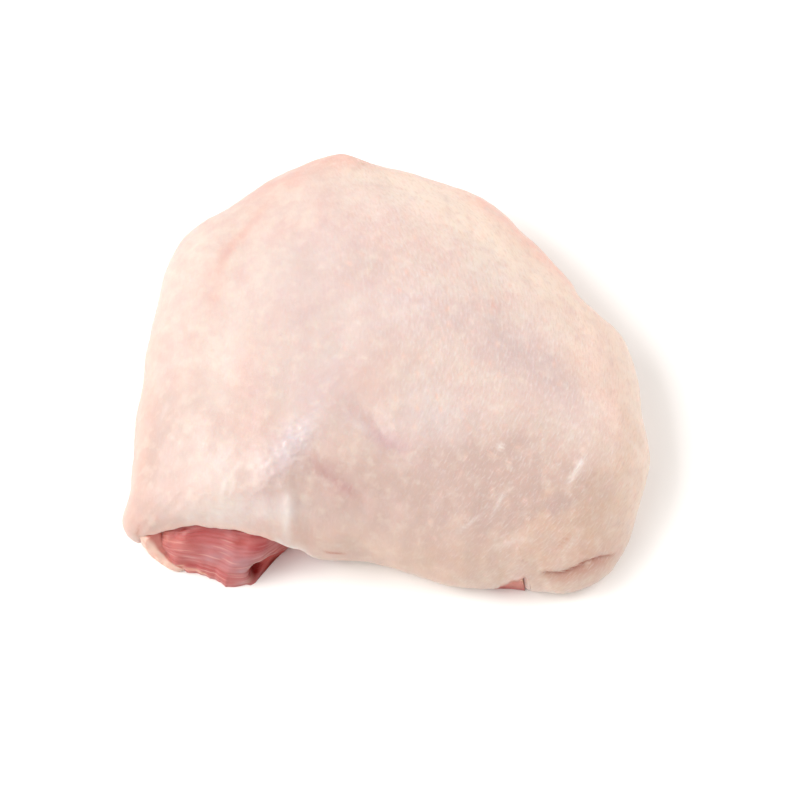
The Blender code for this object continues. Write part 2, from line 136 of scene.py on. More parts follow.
def ovals(x, y, rows):
    """The sum of soft ovals: each is x, y, length, width, the length's direction in degrees, and height."""
    total = np.zeros_like(x)
    for cx, cy, length, width, turn, height in rows:
        c, s = math.cos(math.radians(turn)), math.sin(math.radians(turn))
        along, across = (x - cx) * c + (y - cy) * s, (y - cy) * c - (x - cx) * s
        along, across = along / (OVAL_REACH * length), across / (OVAL_REACH * width)
        total += height * np.exp(-(along**2) - across**2)
    return total


def softened(angle, values, turn):
    """Values given at these directions, each averaged with its neighbours over about this turn."""
    even = np.linspace(0, math.tau, 720, endpoint=False)
    level = np.interp(even, angle % math.tau, values, period=math.tau)
    apart = (even[:, None] - angle[None, :] + math.pi) % math.tau - math.pi
    weight = bell(apart, turn)
    return (weight * level[:, None]).sum(axis=0) / weight.sum(axis=0)


class Form:
    """The outer face of the whole thigh, as upright sections through the origin. A place on it is a lattice
    line and a run, measured along the section from the crown."""

    UPPER, LOWER = 160, 40  # points on a section above the widest line, and from there to the table
    SWELLS_START = 0.45  # the share of the way up to the crown at which the swells have their whole height
    LEAST_LEAN = 0.55  # where a section meets the side askew, a depth is divided by no less than this

    def __init__(self, stations):
        places = smooth_loop(EDGE_LINE, stations)
        self.angle = np.arctan2(places[:, 1], places[:, 0])
        self.radius = np.hypot(places[:, 0], places[:, 1])
        self.height = eased(EDGE_HEIGHT, stations)
        self.end = eased(EDGE_END, stations)
        softer, soft = (softened(self.angle, self.radius, turn) for turn, _ in (SOFTER, SOFT))
        level = softened(self.angle, self.height, SOFT[0])
        self.sections = [self.section(*row) for row in zip(self.radius, soft, softer, self.height, level)]
        self.widest = np.array([run[self.UPPER - 1] for _, _, run in self.sections])
        self.table = np.array([run[self.UPPER + self.LOWER - 2] for _, _, run in self.sections])

    def section(self, radius, soft, softer, height, level):
        """Distances, heights and runs down one section: a dome, an undercut side and a flat."""
        turn = np.linspace(0, math.pi / 2, self.UPPER)
        low, near = (np.sin(turn) ** hold for _, hold in (SOFTER, SOFT))
        reach = softer + (soft - softer) * low + (radius - soft) * near
        r = reach * np.sin(turn) ** (2 / FULLNESS)
        base = level + (height - level) * near
        z = base + (CROWN - base) * np.cos(turn)
        turn = np.linspace(0, math.pi / 2, self.LOWER)[1:]
        r = np.concatenate([r, radius - UNDERCUT * (1 - np.cos(turn)), [radius - UNDERCUT - SECTION_END]])
        z = np.concatenate([z, height * (1 - np.sin(turn)), [0.0]])
        run = np.concatenate([[0], np.cumsum(np.hypot(np.diff(r), np.diff(z)))])
        return r, z, run

    def skin_end(self):
        """The run at which the skin ends, for each section."""
        above = self.widest + np.minimum(self.end, 0) * FREE_RUN
        side = np.clip(self.end, 0, 1) * (self.table - self.widest)
        return above + side + np.clip(self.end - 1, 0, 1) * TUCK

    def points(self, runs):
        """Places for runs given as rows, one column for each section."""
        out = np.empty(runs.shape + (3,))
        for j, (r, z, run) in enumerate(self.sections):
            at = np.interp(runs[:, j], run, r)
            out[:, j, 0] = at * math.cos(self.angle[j])
            out[:, j, 1] = at * math.sin(self.angle[j])
            out[:, j, 2] = np.interp(runs[:, j], run, z)
        top = smoothstep(out[..., 2], self.height, self.height + self.SWELLS_START * (CROWN - self.height))
        top = np.where(runs > self.widest, 0.0, top)
        out[..., 2] += ovals(out[..., 0], out[..., 1], SWELLS) * top
        return out

    def inside(self, runs, depth):
        """Places at this depth under the same places, each in its section's own plane."""
        small = 0.3
        down = self.points(runs + small) - self.points(np.maximum(runs - small, 0))
        out = np.stack([np.cos(self.angle), np.sin(self.angle)], axis=1)[None]
        along = (down[..., :2] * out).sum(axis=2, keepdims=True)
        n = np.concatenate([-down[..., 2:] * out, along], axis=2)
        n /= np.maximum(np.linalg.norm(n, axis=2, keepdims=True), 1e-9)
        places = self.points(runs)
        lean = (n * facing(places)).sum(axis=2, keepdims=True)
        return places - n * np.asarray(depth)[..., None] / np.maximum(lean, self.LEAST_LEAN)


def ring_runs(form, shares, end):
    """Runs from the crown to the end. Near the crown each ring keeps its run from section to section, also
    where the ends of neighbouring sections are far apart."""
    share = np.asarray(shares)[:, None]
    soft = softened(form.angle, end, SOFT_END)
    return share * (soft + (end - soft) * share**3)


def facing(grid):
    """Directions out of a grid of places, whose rows run outwards and whose columns run anticlockwise."""
    down = np.gradient(grid, axis=0) if len(grid) > 1 else np.array([[[0.0, 0.0, -1.0]]])
    n = np.cross(down, np.roll(grid, -1, axis=1) - np.roll(grid, 1, axis=1))
    return n / np.maximum(np.linalg.norm(n, axis=2, keepdims=True), 1e-9)


def ripples(places, size, seed, waves=28):
    """Smooth random relief of unit strength whose bumps are about this size."""
    draw = np.random.default_rng(seed)
    total = np.zeros(places.shape[:-1])
    for _ in range(waves):
        way = draw.normal(size=places.shape[-1])
        way *= math.tau / (np.linalg.norm(way) * size * draw.uniform(0.7, 1.5))
        total += np.sin(places @ way + draw.uniform(0, math.tau))
    return total / math.sqrt(waves / 2)


def layered(places, *layers, on=0.0):
    """Ripples laid over each other and on a value, each given by its height, size and seed."""
    return sum((height * ripples(places, size, seed) for height, size, seed in layers), on)


def join_rings(faces, near, near_count, far, far_count):
    """Faces from one ring of corners to the next, of which either may have twice as many as the other."""
    few = min(near_count, far_count)
    for j in range(few):
        k = (j + 1) % few
        if near_count == far_count:
            faces.append((near + j, far + j, far + k, near + k))
            continue
        many, slim = (far, near) if far_count > few else (near, far)
        a, b, c = (many + (2 * j + n) % (2 * few) for n in range(3))
        three = (a, slim + j, b), (b, slim + j, slim + k), (b, slim + k, c)
        faces += [face if many == near else face[::-1] for face in three]


def add_object(name, corners, faces, fields):
    """An object at the origin, from corners in millimetres and faces. A field holds a number or a vector for
    each corner, which the material or Geometry Nodes read."""
    mesh = bpy.data.meshes.new(name)
    mesh.from_pydata((np.asarray(corners) * MM).tolist(), [], faces)
    for field, values in fields.items():
        kind, part = ("FLOAT_VECTOR", "vector") if values.ndim == 2 else ("FLOAT", "value")
        mesh.attributes.new(field, kind, "POINT").data.foreach_set(part, values.astype(np.float32).ravel())
    mesh.shade_smooth()
    made = bpy.data.objects.new(name, mesh)
    bpy.context.scene.collection.objects.link(made)
    return made


def ringed_object(name, top, rings, bottom, fields):
    """A closed object from a point at the top through rings of places to a point at the bottom."""
    corners = [top, *(place for ring in rings for place in ring), bottom]
    count = len(rings[0])
    faces = [(0, 1 + j, 1 + (j + 1) % count) for j in range(count)]
    start = 1
    for ring, after in zip(rings, rings[1:]):
        join_rings(faces, start, len(ring), start + len(ring), len(after))
        start += len(ring)
    count = len(rings[-1])
    faces += [(len(corners) - 1, start + (j + 1) % count, start + j) for j in range(count)]
    return add_object(name, corners, faces, fields)


LINES = 640  # lattice lines at the cut edge
HALVINGS = (0.5, 0.25, 0.125)  # the shares of the way out from the crown below which every other line stops
RINGS, HEM_STEPS, INNER_RINGS = 148, 6, 40
SLIP_SPAN = (295.5, 302.5)  # the directions of the notch in the skin and the slip of muscle in it, in degrees


def span(way, low, high):
    """1 between two directions in degrees, with soft ends 2 degrees wide."""
    return smoothstep(way, low - 2, low) * (1 - smoothstep(way, high, high + 2))


def skin_closeness(at, way):
    """Lattice lines stand closer where the edge turns sharply, and closest at the notch."""
    return eased(EDGE_CLOSENESS, at) ** 0.45 + 3.0 * span(way, *SLIP_SPAN)


skin_form = Form(lattice_stations(LINES, skin_closeness))
turn = skin_form.angle % math.tau

# The edge at the back where the right of the sheet lies over its left, from the edge of the thigh inwards.
OVERLAP = ((-12.6, 56), (-8.2, 50.6), (-6, 48.3), (-7.6, 46.8), (-8.8, 45.1), (-9, 43), (-8.6, 40))
LAP_STEP, LAP_SOFT, LAP_REACH = 0.22, 0.7, 9.0  # its height, its softness, and how far the skin rises to it


def beside(path, x, y):
    """How far each place is to the right of a path, and the share of the path that it has passed."""
    path = np.asarray(path, float)
    walked = np.concatenate([[0], np.cumsum(np.linalg.norm(np.diff(path, axis=0), axis=1))])
    best, side, passed = np.full(x.shape, 1e9), np.zeros_like(x), np.zeros_like(x)
    for n in range(len(path) - 1):
        (ax, ay), (bx, by) = path[n], path[n + 1]
        dx, dy, length = bx - ax, by - ay, walked[n + 1] - walked[n]
        t = np.clip(((x - ax) * dx + (y - ay) * dy) / length**2, 0, 1)
        far = np.hypot(x - ax - t * dx, y - ay - t * dy)
        nearer = far < best
        best = np.where(nearer, far, best)
        sign = np.sign((x - ax) * dy - (y - ay) * dx)
        side = np.where(nearer, far * sign, side)
        passed = np.where(nearer, (walked[n] + t * length) / walked[-1], passed)
    return side, passed


# The crease of the fold at the front right, from left to right: the turn in degrees and its height.
CREASE = ((-59.6, 10.6), (-57, 11.3), (-54.9, 10.9), (-52.3, 11.4), (-49.7, 11.8), (-46.8, 10.9), (-44, 8.6))
# The height and reach of the lip over the crease, of the groove in it and of the roll some way under it.
LIP, GROOVE, ROLL, ROLL_UNDER = (0.55, 3.0), (-0.8, 1.8), (0.5, 2.6), 5.0


def by_crease(x, y, z):
    """How far each place is above the crease of the fold, and how much of the fold there is."""
    theta = np.degrees(np.arctan2(y, x))
    crease = np.interp(theta, *zip(*CREASE))
    share = smoothstep(theta, -58.6, -56.4) * (1 - smoothstep(theta, -46.5, -42.5)) * (y < 0)
    return z - crease, share


# Where the skin is finely puckered: x, y, length, width, direction in degrees, strength.
PUCKERS = (
    (-1.5, -27.6, 17, 7, -35, 1.7), (-21.5, -31, 16, 7, 50, 1.9), (-12, -37.5, 12, 5, -28, 0.6),
    (40.5, -35, 14, 8, 60, 0.8),
)


# Height, size and seed of the ripples of the skin, of its puckers, and of its cut edge.
SKIN_RIPPLES = ((0.16, 17.0, 3), (0.05, 6.5, 4), (0.02, 2.4, 5))
PUCKER = (0.045, 1.5, 6)
RAGGED = ((0.28, 7.0, 8), (0.14, 2.6, 9))


def skin_relief(places):
    """How far the skin stands out of the plain form, or in, in millimetres. It lies plain on the table."""
    x, y, z = np.moveaxis(places, -1, 0)
    relief = layered(places, *SKIN_RIPPLES)
    relief += layered(places, PUCKER) * ovals(x, y, PUCKERS)
    side, passed = beside(OVERLAP, x, y)
    near = bell(side, LAP_REACH) * (1 - smoothstep(passed, 0.75, 1.0)) * smoothstep(y, 38, 44)
    relief += near * LAP_STEP * (2 * smoothstep(side, -LAP_SOFT, LAP_SOFT) - 1)
    above, share = by_crease(x, y, z)
    over = smoothstep(above, -0.4, 0.4)
    lip = LIP[0] * bell(above, LIP[1]) * over
    groove = GROOVE[0] * np.exp(above / GROOVE[1]) * (1 - over) * (above < 0.5)
    roll = ROLL[0] * bell(above + ROLL_UNDER, ROLL[1])
    relief += share * (lip + groove + roll)
    return relief * smoothstep(z, 0.4, 3.5)


def halved(ring, share):
    """The ring with as many of its lines as the lattice keeps at this share of the way out."""
    return ring[:: 2 ** sum(share <= limit for limit in HALVINGS)]


HEM_ROUND = 0.8  # how far the rounded hem stands out
HEM_CIRCLE = 60.0  # the hem's ripples are drawn round a circle of about its own size
hem_wave = np.column_stack([HEM_CIRCLE * np.cos(turn), HEM_CIRCLE * np.sin(turn)])
skin_end = skin_form.skin_end() + layered(hem_wave, *RAGGED)
shares = np.arange(1, RINGS + 1) / RINGS
runs = ring_runs(skin_form, shares, skin_end)
outer = skin_form.points(runs)
outer += facing(outer) * skin_relief(outer)[..., None]
lift = outer[-1] - skin_form.points(skin_end[None])[0]
bend = np.linspace(0, math.pi, HEM_STEPS + 2)[1:-1, None]
hem_depth = np.broadcast_to(SKIN / 2 * (1 - np.cos(bend)), (HEM_STEPS, LINES))
hem = skin_form.inside(skin_end + HEM_ROUND * np.sin(bend), hem_depth)
hem += lift * (0.5 + 0.5 * np.cos(bend))[..., None]
inner_shares = (np.arange(1, INNER_RINGS + 1) / INNER_RINGS) ** 0.9
inner = skin_form.inside(ring_runs(skin_form, inner_shares, skin_end), np.full((INNER_RINGS, LINES), SKIN))
rings = [halved(ring, share) for ring, share in zip(outer, shares)]
rings += list(hem)
rings += [ring[::2] if share > 0.5 else ring[::4] for ring, share in zip(inner[::-1], inner_shares[::-1])]
crown = np.array([0.0, 0.0, CROWN + ovals(np.zeros(1), np.zeros(1), SWELLS)[0]])
crown_out = crown + (0, 0, float(skin_relief(crown[None])[0]))

# Where the skin's colour changes: x, y, length, width, direction in degrees, strength.
TINTS = {
    # thin skin over dark meat, a grey mauve
    "thin": (
        (-20, 3, 44, 17, 84, 0.55), (27, -6, 36, 17, -28, 0.85), (38, -15, 16, 12, -35, 0.45),
        (-18, -20, 22, 14, 20, 0.4), (-2, 18, 26, 12, 40, 0.3),
    ),
    # fat close under the skin, a cool cream
    "cream": (
        (11, -26, 12, 8, 0, 0.8), (7, -15, 16, 9, 70, 0.5), (-36, -12, 40, 12, 86, 0.35),
        (-30, -43, 18, 5, -8, 0.3), (24, 18, 20, 12, -40, 0.4),
    ),
    # blood close to the surface, a warm pink
    "flush": (
        (-22, 46, 26, 8, 22, 0.8), (-36, 26, 24, 2.6, 60, 0.6), (-40, 12, 14, 3, 80, 0.35),
        (-50, -20, 20, 6, 80, 0.35), (-51, -40, 12, 6, 60, 0.5), (32, 32, 30, 6, -48, 0.6),
        (-12, 53, 12, 6, 0, 0.9), (-4, 25, 34, 14, -10, 0.25), (-50, -40, 16, 7, 20, 0.5),
        (52, 4, 20, 6, -60, 0.5), (24, 4, 2.2, 1, -60, 0.8), (41, 6, 7, 4, 0, 0.45),
        (-16, -47, 18, 4, -6, 0.6), (-27.6, -44.6, 9, 3, -14, 0.6), (-42, -44.2, 24, 3, 0, 0.25),
        (2, -40, 62, 26, -6, 0.12), (-33, -14, 26, 5, 82, 0.25), (-31, -27, 12, 5, 76, 0.3),
        (-6, -14, 12, 8, 20, 0.35), (-4, 12, 16, 12, 20, 0.1),
    ),
    # the lower right and the front, a darker, warmer tan
    "tan": (
        (46, -41, 30, 15, 55, 0.8), (56, -22, 26, 7, 88, 0.6), (30, -46, 24, 10, 0, 0.5),
        (6, -52, 44, 7, -8, 0.55), (44, -10, 16, 8, -60, 0.3), (23, -40, 26, 12, 8, 0.5),
    ),
    # painted shade on the front slope, the left flank and a few places on the top, duller and greyer
    "painted_shade": (
        (6, -40, 74, 24, 6, 0.85), (24, -38, 28, 15, 0, 0.7), (-23.4, -40.6, 8, 5, 80, 0.75),
        (-52, -30, 40, 14, 88, 0.75), (-36, -30, 30, 24, 0, 0.3), (-4, -12, 34, 24, 30, 0.45),
        (-8, 14, 20, 14, 0, 0.4),
    ),
    # the floor of the long dent, a mauve, its darkness partly painted shade in the dent
    "mauve": ((-1.8, -27.8, 14, 3.6, -36, 0.8), (3.2, -29, 5, 4, 0, 0.2)),
    # the floor of the short dent and the lap at the back, a brownish pink, its darkness partly painted shade
    "dent_shade": (
        (-12, -37.2, 9, 2.2, -32, 0.7), (-12, -37.2, 13, 6, -36, 0.3), (-7, 47.5, 9, 2, -50, 0.2),
    ),
    # painted light on the back and the right of the skin, and a little on the front hem, a light peach
    "painted_light": (
        (14, 38, 54, 20, -28, 0.95), (46, 10, 46, 16, -60, 0.85), (57, -16, 34, 10, -86, 0.7),
        (32, 22, 28, 16, -45, 0.6), (56, -34, 24, 8, 70, 0.5), (-7, -48, 18, 4, -6, 0.2),
    ),
    # the upper rim at the back, the right and the left, a warm pink
    "blush": (
        (2, 51.5, 40, 8, -16, 0.8), (-10, 53.5, 16, 7, -10, 0.7), (24, 38.5, 34, 8, -50, 0.9),
        (39.5, 23, 28, 7, -52, 0.9), (50, -12, 32, 10, -80, 0.3), (-56, -8, 50, 5, 88, 0.5),
    ),
    # painted reflection on the wet spots, a lilac white, and elsewhere a faint lilac tone of the skin
    "lilac": (
        (-21.7, -30.7, 15, 6, 50, 0.75), (-26, -42.8, 10, 3, 0, 0.4), (-14, -14, 18, 12, 60, 0.3),
        (-12, 20, 40, 22, 40, 0.25), (2, 2, 22, 16, 20, 0.3), (10, -24, 18, 12, 0, 0.3),
    ),
    # painted highlights and glints, and painted light on the hem over the bare end and its swell, nearly
    # white
    "pale": (
        (-34, -43.2, 22, 3.6, -3, 0.6), (-36.4, -38.6, 3.4, 0.9, 74, 0.4), (-34.8, -39.8, 3, 0.8, 70, 0.35),
        (-50.4, -19.4, 4, 1.2, 70, 0.35), (-22.4, -44.8, 6, 2.2, 86, 0.8), (-52, -5, 44, 10, 88, 0.2),
        (-6.4, -25.9, 6, 2.4, -40, 0.25), (-37, -34, 12, 8, 40, 0.3), (24.5, -41.6, 4.6, 0.7, 58, 0.6),
        (17.6, -46.3, 5.6, 0.6, 34, 0.5), (26.8, -49.6, 6, 0.6, 12, 0.45), (40.6, -49, 5.4, 0.6, 50, 0.45),
        (42.2, -33.4, 3.6, 0.9, 62, 0.9), (40.4, -36.4, 3, 0.8, 58, 0.8), (24.6, -30.4, 1.6, 0.8, 60, 0.8),
    ),
    # raw skin under the lap of the fold, round the slip of muscle and faintly along the rim, a red brown
    # with painted shade in the same red brown under the crease of the fold and along the notch's hem
    "raw": (
        (46, -50.8, 14, 5, 30, 0.15), (38.6, -49, 4, 0.6, 40, 0.35), (-56.2, -44.4, 1.6, 0.6, 62, 0.7),
        (-11, 52.6, 18, 9, -6, 0.22), (-1, 52.6, 30, 4, -17, 0.16), (-8, 51.2, 7, 1.2, -24, 0.12),
        (-56.5, -8, 56, 8, 88, 0.17),
    ),
    # where the skin is wet and shines
    "wet": (
        (-21.7, -30.7, 16, 6, 50, 1), (41.2, -34.6, 9, 5, 60, 0.8), (-29, -41, 12, 4, 30, 0.6),
    ),
}
PITS_LIE = (103.0, 0.73)  # the way feathers lay: degrees on the diagonal through the middle, and turn per mm
GRAIN_BEND = 0.0068  # how the fine grain of the skin curves: its lines are x = c - GRAIN_BEND * y * y
GRAIN_LONG, GRAIN_WIDE = 1.7, 0.6
GRAIN_OUT = 30.0  # how far from the middle the grain starts to follow the sides down
GRAIN_LEAST = 0.3
PITTED = (-16, 14)  # pits and grain come in from left to right between these
# The heights between which the tints, the blush and the pits come in.
TINT_RISE, BLUSH_RISE, PIT_RISE = (2.0, 8.0), (6.0, 12.0), (6.0, 10.0)
# The red under the crease of the fold: a narrow line of painted shade under its lip, then redder skin.
CREASE_RED = ((0.85, 0.3, 0.5), (0.34, 1.3, 1.4))  # strength, how far under the crease, how wide
# Directions in degrees between which the hem gets painted pale light, lies over the bare end and there gets
# painted light in blush pink, has a red line above it, and is the red edge of the notch with painted shade
# under the hem. Each has the strength of its line and how wide that is.
PALE_HEM, BARE_HEM, RED_HEM, RED_NOTCH = (243.0, 254.0), (218.0, 240.0), (254.5, 257.5), (295.5, 297.8)
HEM_PALE, HEM_BLUSH, HEM_WIDE = 0.85, 0.4, 1.9
RED_LINE, RED_LINE_WIDE, RED_LINE_UP = 0.75, 0.45, 1.6
NOTCH_RED, NOTCH_WIDE, NOTCH_UNCUT = 0.85, 0.5, 0.9
# Height, size and first seed of the ripples that break up the tints.
SKIN_PATCHES, MEAT_PATCHES = ((0.13, 6.0, 20), (0.09, 2.8, 40)), ((0.35, 2.0, 60),)


def painted(tints, x, y, places, patches, share):
    """The strength of each tint at each corner, patchy, and taken to this share."""
    fields = {}
    for n, (name, rows) in enumerate(tints.items()):
        patchy = layered(places, *((height, size, seed + n) for height, size, seed in patches), on=1.0)
        fields[name] = np.clip(ovals(x, y, rows) * patchy, 0, 1) * share
    return fields


def skin_fields(places, cut, to_end, to_edge):
    """How strong each tint is, and where and which way the pits and the grain lie, at each corner. It takes
    the cut's strength there, and how far the skin's end and the widest line are."""
    x, y, z = np.moveaxis(places, -1, 0)
    fields = painted(TINTS, x, y, places, SKIN_PATCHES, smoothstep(z, *TINT_RISE))
    above, share = by_crease(x, y, z)
    # Painted shade in red brown just under the lip of the fold, and the redder skin further under.
    under_crease = sum(red * bell(above + under, wide) for red, under, wide in CREASE_RED)
    fields["raw"] += share * under_crease * (above < 0.6)
    way = np.degrees(np.arctan2(y, x)) % 360
    hem_line = bell(to_end, HEM_WIDE)
    # Painted light along the hem right of the bare end.
    fields["pale"] = np.maximum(fields["pale"], HEM_PALE * hem_line * span(way, *PALE_HEM))
    fields["blush"] *= smoothstep(z, *BLUSH_RISE)
    # Painted light in blush pink on the hem over the bare end, which lies in shade.
    fields["blush"] += HEM_BLUSH * hem_line * span(way, *BARE_HEM)
    # The notch's hem edge in red brown: its raw cut edge, darkened with painted shade under the hem.
    fields["raw"] += NOTCH_RED * bell(to_end, NOTCH_WIDE) * span(way, *RED_NOTCH)
    fields["raw"] += RED_LINE * bell(to_edge - RED_LINE_UP, RED_LINE_WIDE) * span(way, *RED_HEM)
    fields["cut"] = cut * (1 - NOTCH_UNCUT * span(way, *RED_NOTCH))
    right = smoothstep(x + 0.3 * y, *PITTED)
    fields["pitted"] = right * smoothstep(z, *PIT_RISE) * (1 - cut)
    lie = np.radians(PITS_LIE[0] + PITS_LIE[1] * (y - x) / math.sqrt(2))
    fields["lie"] = np.column_stack([np.cos(lie), np.sin(lie), np.zeros_like(x)])
    over = x + (CROWN - z) * np.tanh(x / GRAIN_OUT) + GRAIN_BEND * y * y
    down = y + (CROWN - z) * np.tanh(y / GRAIN_OUT)
    fields["grained"] = np.column_stack([over / GRAIN_WIDE, down / GRAIN_LONG, np.zeros_like(x)])
    fields["grain"] = (GRAIN_LEAST + (1 - GRAIN_LEAST) * right) * (1 - cut)
    return fields


counts = [len(ring) for ring in rings]
on_cut = [0.0] * (RINGS - 1) + [0.25] + [1.0] * HEM_STEPS + [1.0] * INNER_RINGS
cut = np.concatenate([[0.0], np.repeat(on_cut, counts), [1.0]])
FAR = 99.0  # stands for a distance too large to matter


def along_rings(values):
    """Values for the outer rings as one list for the whole mesh, large at the crown and 0 past the hem."""
    held = np.concatenate([halved(ring, share) for ring, share in zip(values, shares)])
    return np.concatenate([[FAR], held, np.zeros(len(cut) - len(held) - 1)])


to_end, to_edge = along_rings(skin_end - runs), along_rings(skin_form.widest - runs)
fields = skin_fields(np.concatenate([[crown_out], *rings, [crown]]), cut, to_end, to_edge)
skin = ringed_object("thigh_skin", crown_out, rings, crown - (0, 0, SKIN), fields)


def linear(colour):
    """An sRGB hex colour as the linear colour that a shader reads."""
    parts = [int(colour[n : n + 2], 16) / 255 for n in (1, 3, 5)]
    return (*[c / 12.92 if c <= 0.04045 else ((c + 0.055) / 1.055) ** 2.4 for c in parts], 1.0)


def feed(tree, node, inputs):
    """Gives a node's inputs what they hold: each a value, or the socket that feeds it."""
    for socket, value in inputs.items():
        if isinstance(value, bpy.types.NodeSocket):
            tree.links.new(value, node.inputs[socket])
        else:
            node.inputs[socket].default_value = value


def add_node(tree, kind, inputs={}, **settings):
    """Adds a node with its own settings and what feeds it, and gives its outputs. A kind without Node in its
    name is a shader node."""
    made = tree.nodes.new(kind if "Node" in kind else "ShaderNode" + kind)
    for name, value in settings.items():
        setattr(made, name, value)
    feed(tree, made, inputs)
    return made.outputs


def new_material(name):
    """A material, its tree and its shader."""
    made = bpy.data.materials.new(name)
    made.use_nodes = True
    return made, made.node_tree, made.node_tree.nodes["Principled BSDF"]


def two_toned(tree, value, low, high, first, second):
    """A colour that goes from the first to the second as the value goes from low to high."""
    inputs = {"Value": value, "From Min": low, "From Max": high}
    share = add_node(tree, "MapRange", inputs)[0]
    inputs = {0: share, 6: linear(first), 7: linear(second)}
    return add_node(tree, "Mix", inputs, data_type="RGBA")[2]


def tinted(tree, colour, tints):
    """Lays tints over a colour, each as strongly as the mesh's field of that name says."""
    for field, tint in tints.items():
        held = add_node(tree, "Attribute", attribute_name=field)
        inputs = {0: held["Fac"], 6: colour, 7: linear(tint)}
        colour = add_node(tree, "Mix", inputs, data_type="RGBA")[2]
    return colour


# Raw chicken skin: a pale, slightly see-through sheet over fat, wet enough to shine softly. The eye sees a
# cream pink that turns mauve over dark meat and a darker tan at the lower right and the front, with faint
# blotches a few mm wide and a fine grain of short pale and darker lines the way the feathers lay. Painted
# shade, painted light and painted highlights are laid over it as tints.
SKIN_FINISH = {
    "IOR": 1.4,
    "Coat Weight": 0.15,
    "Coat Roughness": 0.2,
    "Subsurface Weight": 0.35,
    "Subsurface Radius": (1.0, 0.42, 0.26),
    "Subsurface Scale": 2.4 * MM,
}
SKIN_DAMP, SKIN_WET = 0.46, 0.27  # roughness
SKIN_PALE, SKIN_ROSY = "#DACABC", "#D2B4AB"
SKIN_TINTS = {
    "thin": "#C8B0AA", "cream": "#D1C3BB", "flush": "#D5A69A", "tan": "#D5B39A", "painted_shade": "#C0A59A",
    "mauve": "#BC9B98", "dent_shade": "#B7908A", "painted_light": "#E6D0BF", "blush": "#EBBDAC", "lilac": "#CFBFC0",
    "pale": "#DED3CC", "raw": "#B06A56", "pit": "#DAB8AA", "cut": "#D8BEB4",
}
BLOTCH, MOTTLE, GRAIN = 6.0, 2.8, 0.8  # how wide blotches, their mottling and the finest grain are
FINE = 0.12  # how deep the finest grain is
# For each fleck its tint and the values of the noise at which it starts and is whole, then how strong it is.
MOTTLE_FLECKS, MOTTLE_STRONG = (("#E3D6C6", 0.53, 0.75), ("#C8ADA9", 0.47, 0.25)), 0.26
GRAIN_FLECKS, GRAIN_STRONG = (("#E1D6D2", 0.52, 0.78), ("#C2A194", 0.48, 0.22)), 0.38


def flecked(tree, colour, noise, flecks, strong, much=1.0):
    """Lays flecks over a colour, as much of them as the last value or socket says."""
    for tint, start, whole in flecks:
        inputs = {"Value": noise, "From Min": start, "From Max": whole, "To Max": strong}
        share = add_node(tree, "MapRange", inputs)[0]
        share = add_node(tree, "Math", {0: share, 1: much}, operation="MULTIPLY")[0]
        inputs = {0: share, 6: colour, 7: linear(tint)}
        colour = add_node(tree, "Mix", inputs, data_type="RGBA")[2]
    return colour


def fine_bump(tree, spot, size, strength):
    """A normal with the finest grain in it, at this size."""
    noise = add_node(tree, "TexNoise", {"Vector": spot, "Scale": 1 / (size * MM), "Detail": 3.0})
    inputs = {"Height": noise["Fac"], "Strength": strength, "Distance": FINE * MM}
    return add_node(tree, "Bump", inputs)[0]


skin_look, tree, shader = new_material("raw_chicken_skin")
spot = add_node(tree, "TexCoord")["Object"]
inputs = {"Vector": spot, "Scale": 1 / (BLOTCH * MM), "Detail": 4.0, "Roughness": 0.62}
blotch = add_node(tree, "TexNoise", inputs)["Fac"]
colour = tinted(tree, two_toned(tree, blotch, 0.3, 0.7, SKIN_PALE, SKIN_ROSY), SKIN_TINTS)
inputs = {"Vector": spot, "Scale": 1 / (MOTTLE * MM), "Detail": 2.5, "Distortion": 0.15}
mottle = add_node(tree, "TexNoise", inputs)["Fac"]
colour = flecked(tree, colour, mottle, MOTTLE_FLECKS, MOTTLE_STRONG)
way = add_node(tree, "Attribute", attribute_name="grained")["Vector"]
inputs = {"Vector": way, "Scale": 1.0, "Detail": 2.0, "Distortion": 0.35}
lines = add_node(tree, "TexNoise", inputs)["Fac"]
much = add_node(tree, "Attribute", attribute_name="grain")["Fac"]
colour = flecked(tree, colour, lines, GRAIN_FLECKS, GRAIN_STRONG, much)
wet = add_node(tree, "Attribute", attribute_name="wet")["Fac"]
rough = add_node(tree, "MapRange", {"Value": wet, "To Min": SKIN_DAMP, "To Max": SKIN_WET})[0]
ridges = add_node(tree, "Math", {0: lines, 1: much}, operation="MULTIPLY")[0]
normal = fine_bump(tree, spot, GRAIN, 0.35)
inputs = {"Height": ridges, "Strength": 0.5, "Distance": FINE * MM, "Normal": normal}
normal = add_node(tree, "Bump", inputs)[0]
feed(tree, shader, {"Base Color": colour, "Roughness": rough, "Normal": normal, **SKIN_FINISH})


def new_tree(name, sizes):
    """A Geometry Nodes tree with a geometry going in and out and a named input for each size."""
    tree = bpy.data.node_groups.new(name, "GeometryNodeTree")
    tree.interface.new_socket(name="Geometry", in_out="INPUT", socket_type="NodeSocketGeometry")
    tree.interface.new_socket(name="Geometry", in_out="OUTPUT", socket_type="NodeSocketGeometry")
    for size, value in sizes.items():
        kind = "NodeSocketInt" if isinstance(value, int) else "NodeSocketFloat"
        tree.interface.new_socket(name=size, in_out="INPUT", socket_type=kind)
    return tree, add_node(tree, "NodeGroupInput")


def run_tree(made, tree, sizes):
    """Puts a finished tree on an object with these sizes, and keeps what it makes as a plain mesh."""
    worker = made.modifiers.new(tree.name, "NODES")
    worker.node_group = tree
    for item in tree.interface.items_tree:
        if item.in_out == "INPUT" and item.name in sizes:
            worker[item.identifier] = sizes[item.name]
    bpy.context.view_layer.update()
    graph = bpy.context.evaluated_depsgraph_get()
    finished = made.evaluated_get(graph)
    mesh = bpy.data.meshes.new_from_object(finished, preserve_all_data_layers=True, depsgraph=graph)
    made.modifiers.clear()
    made.data = mesh


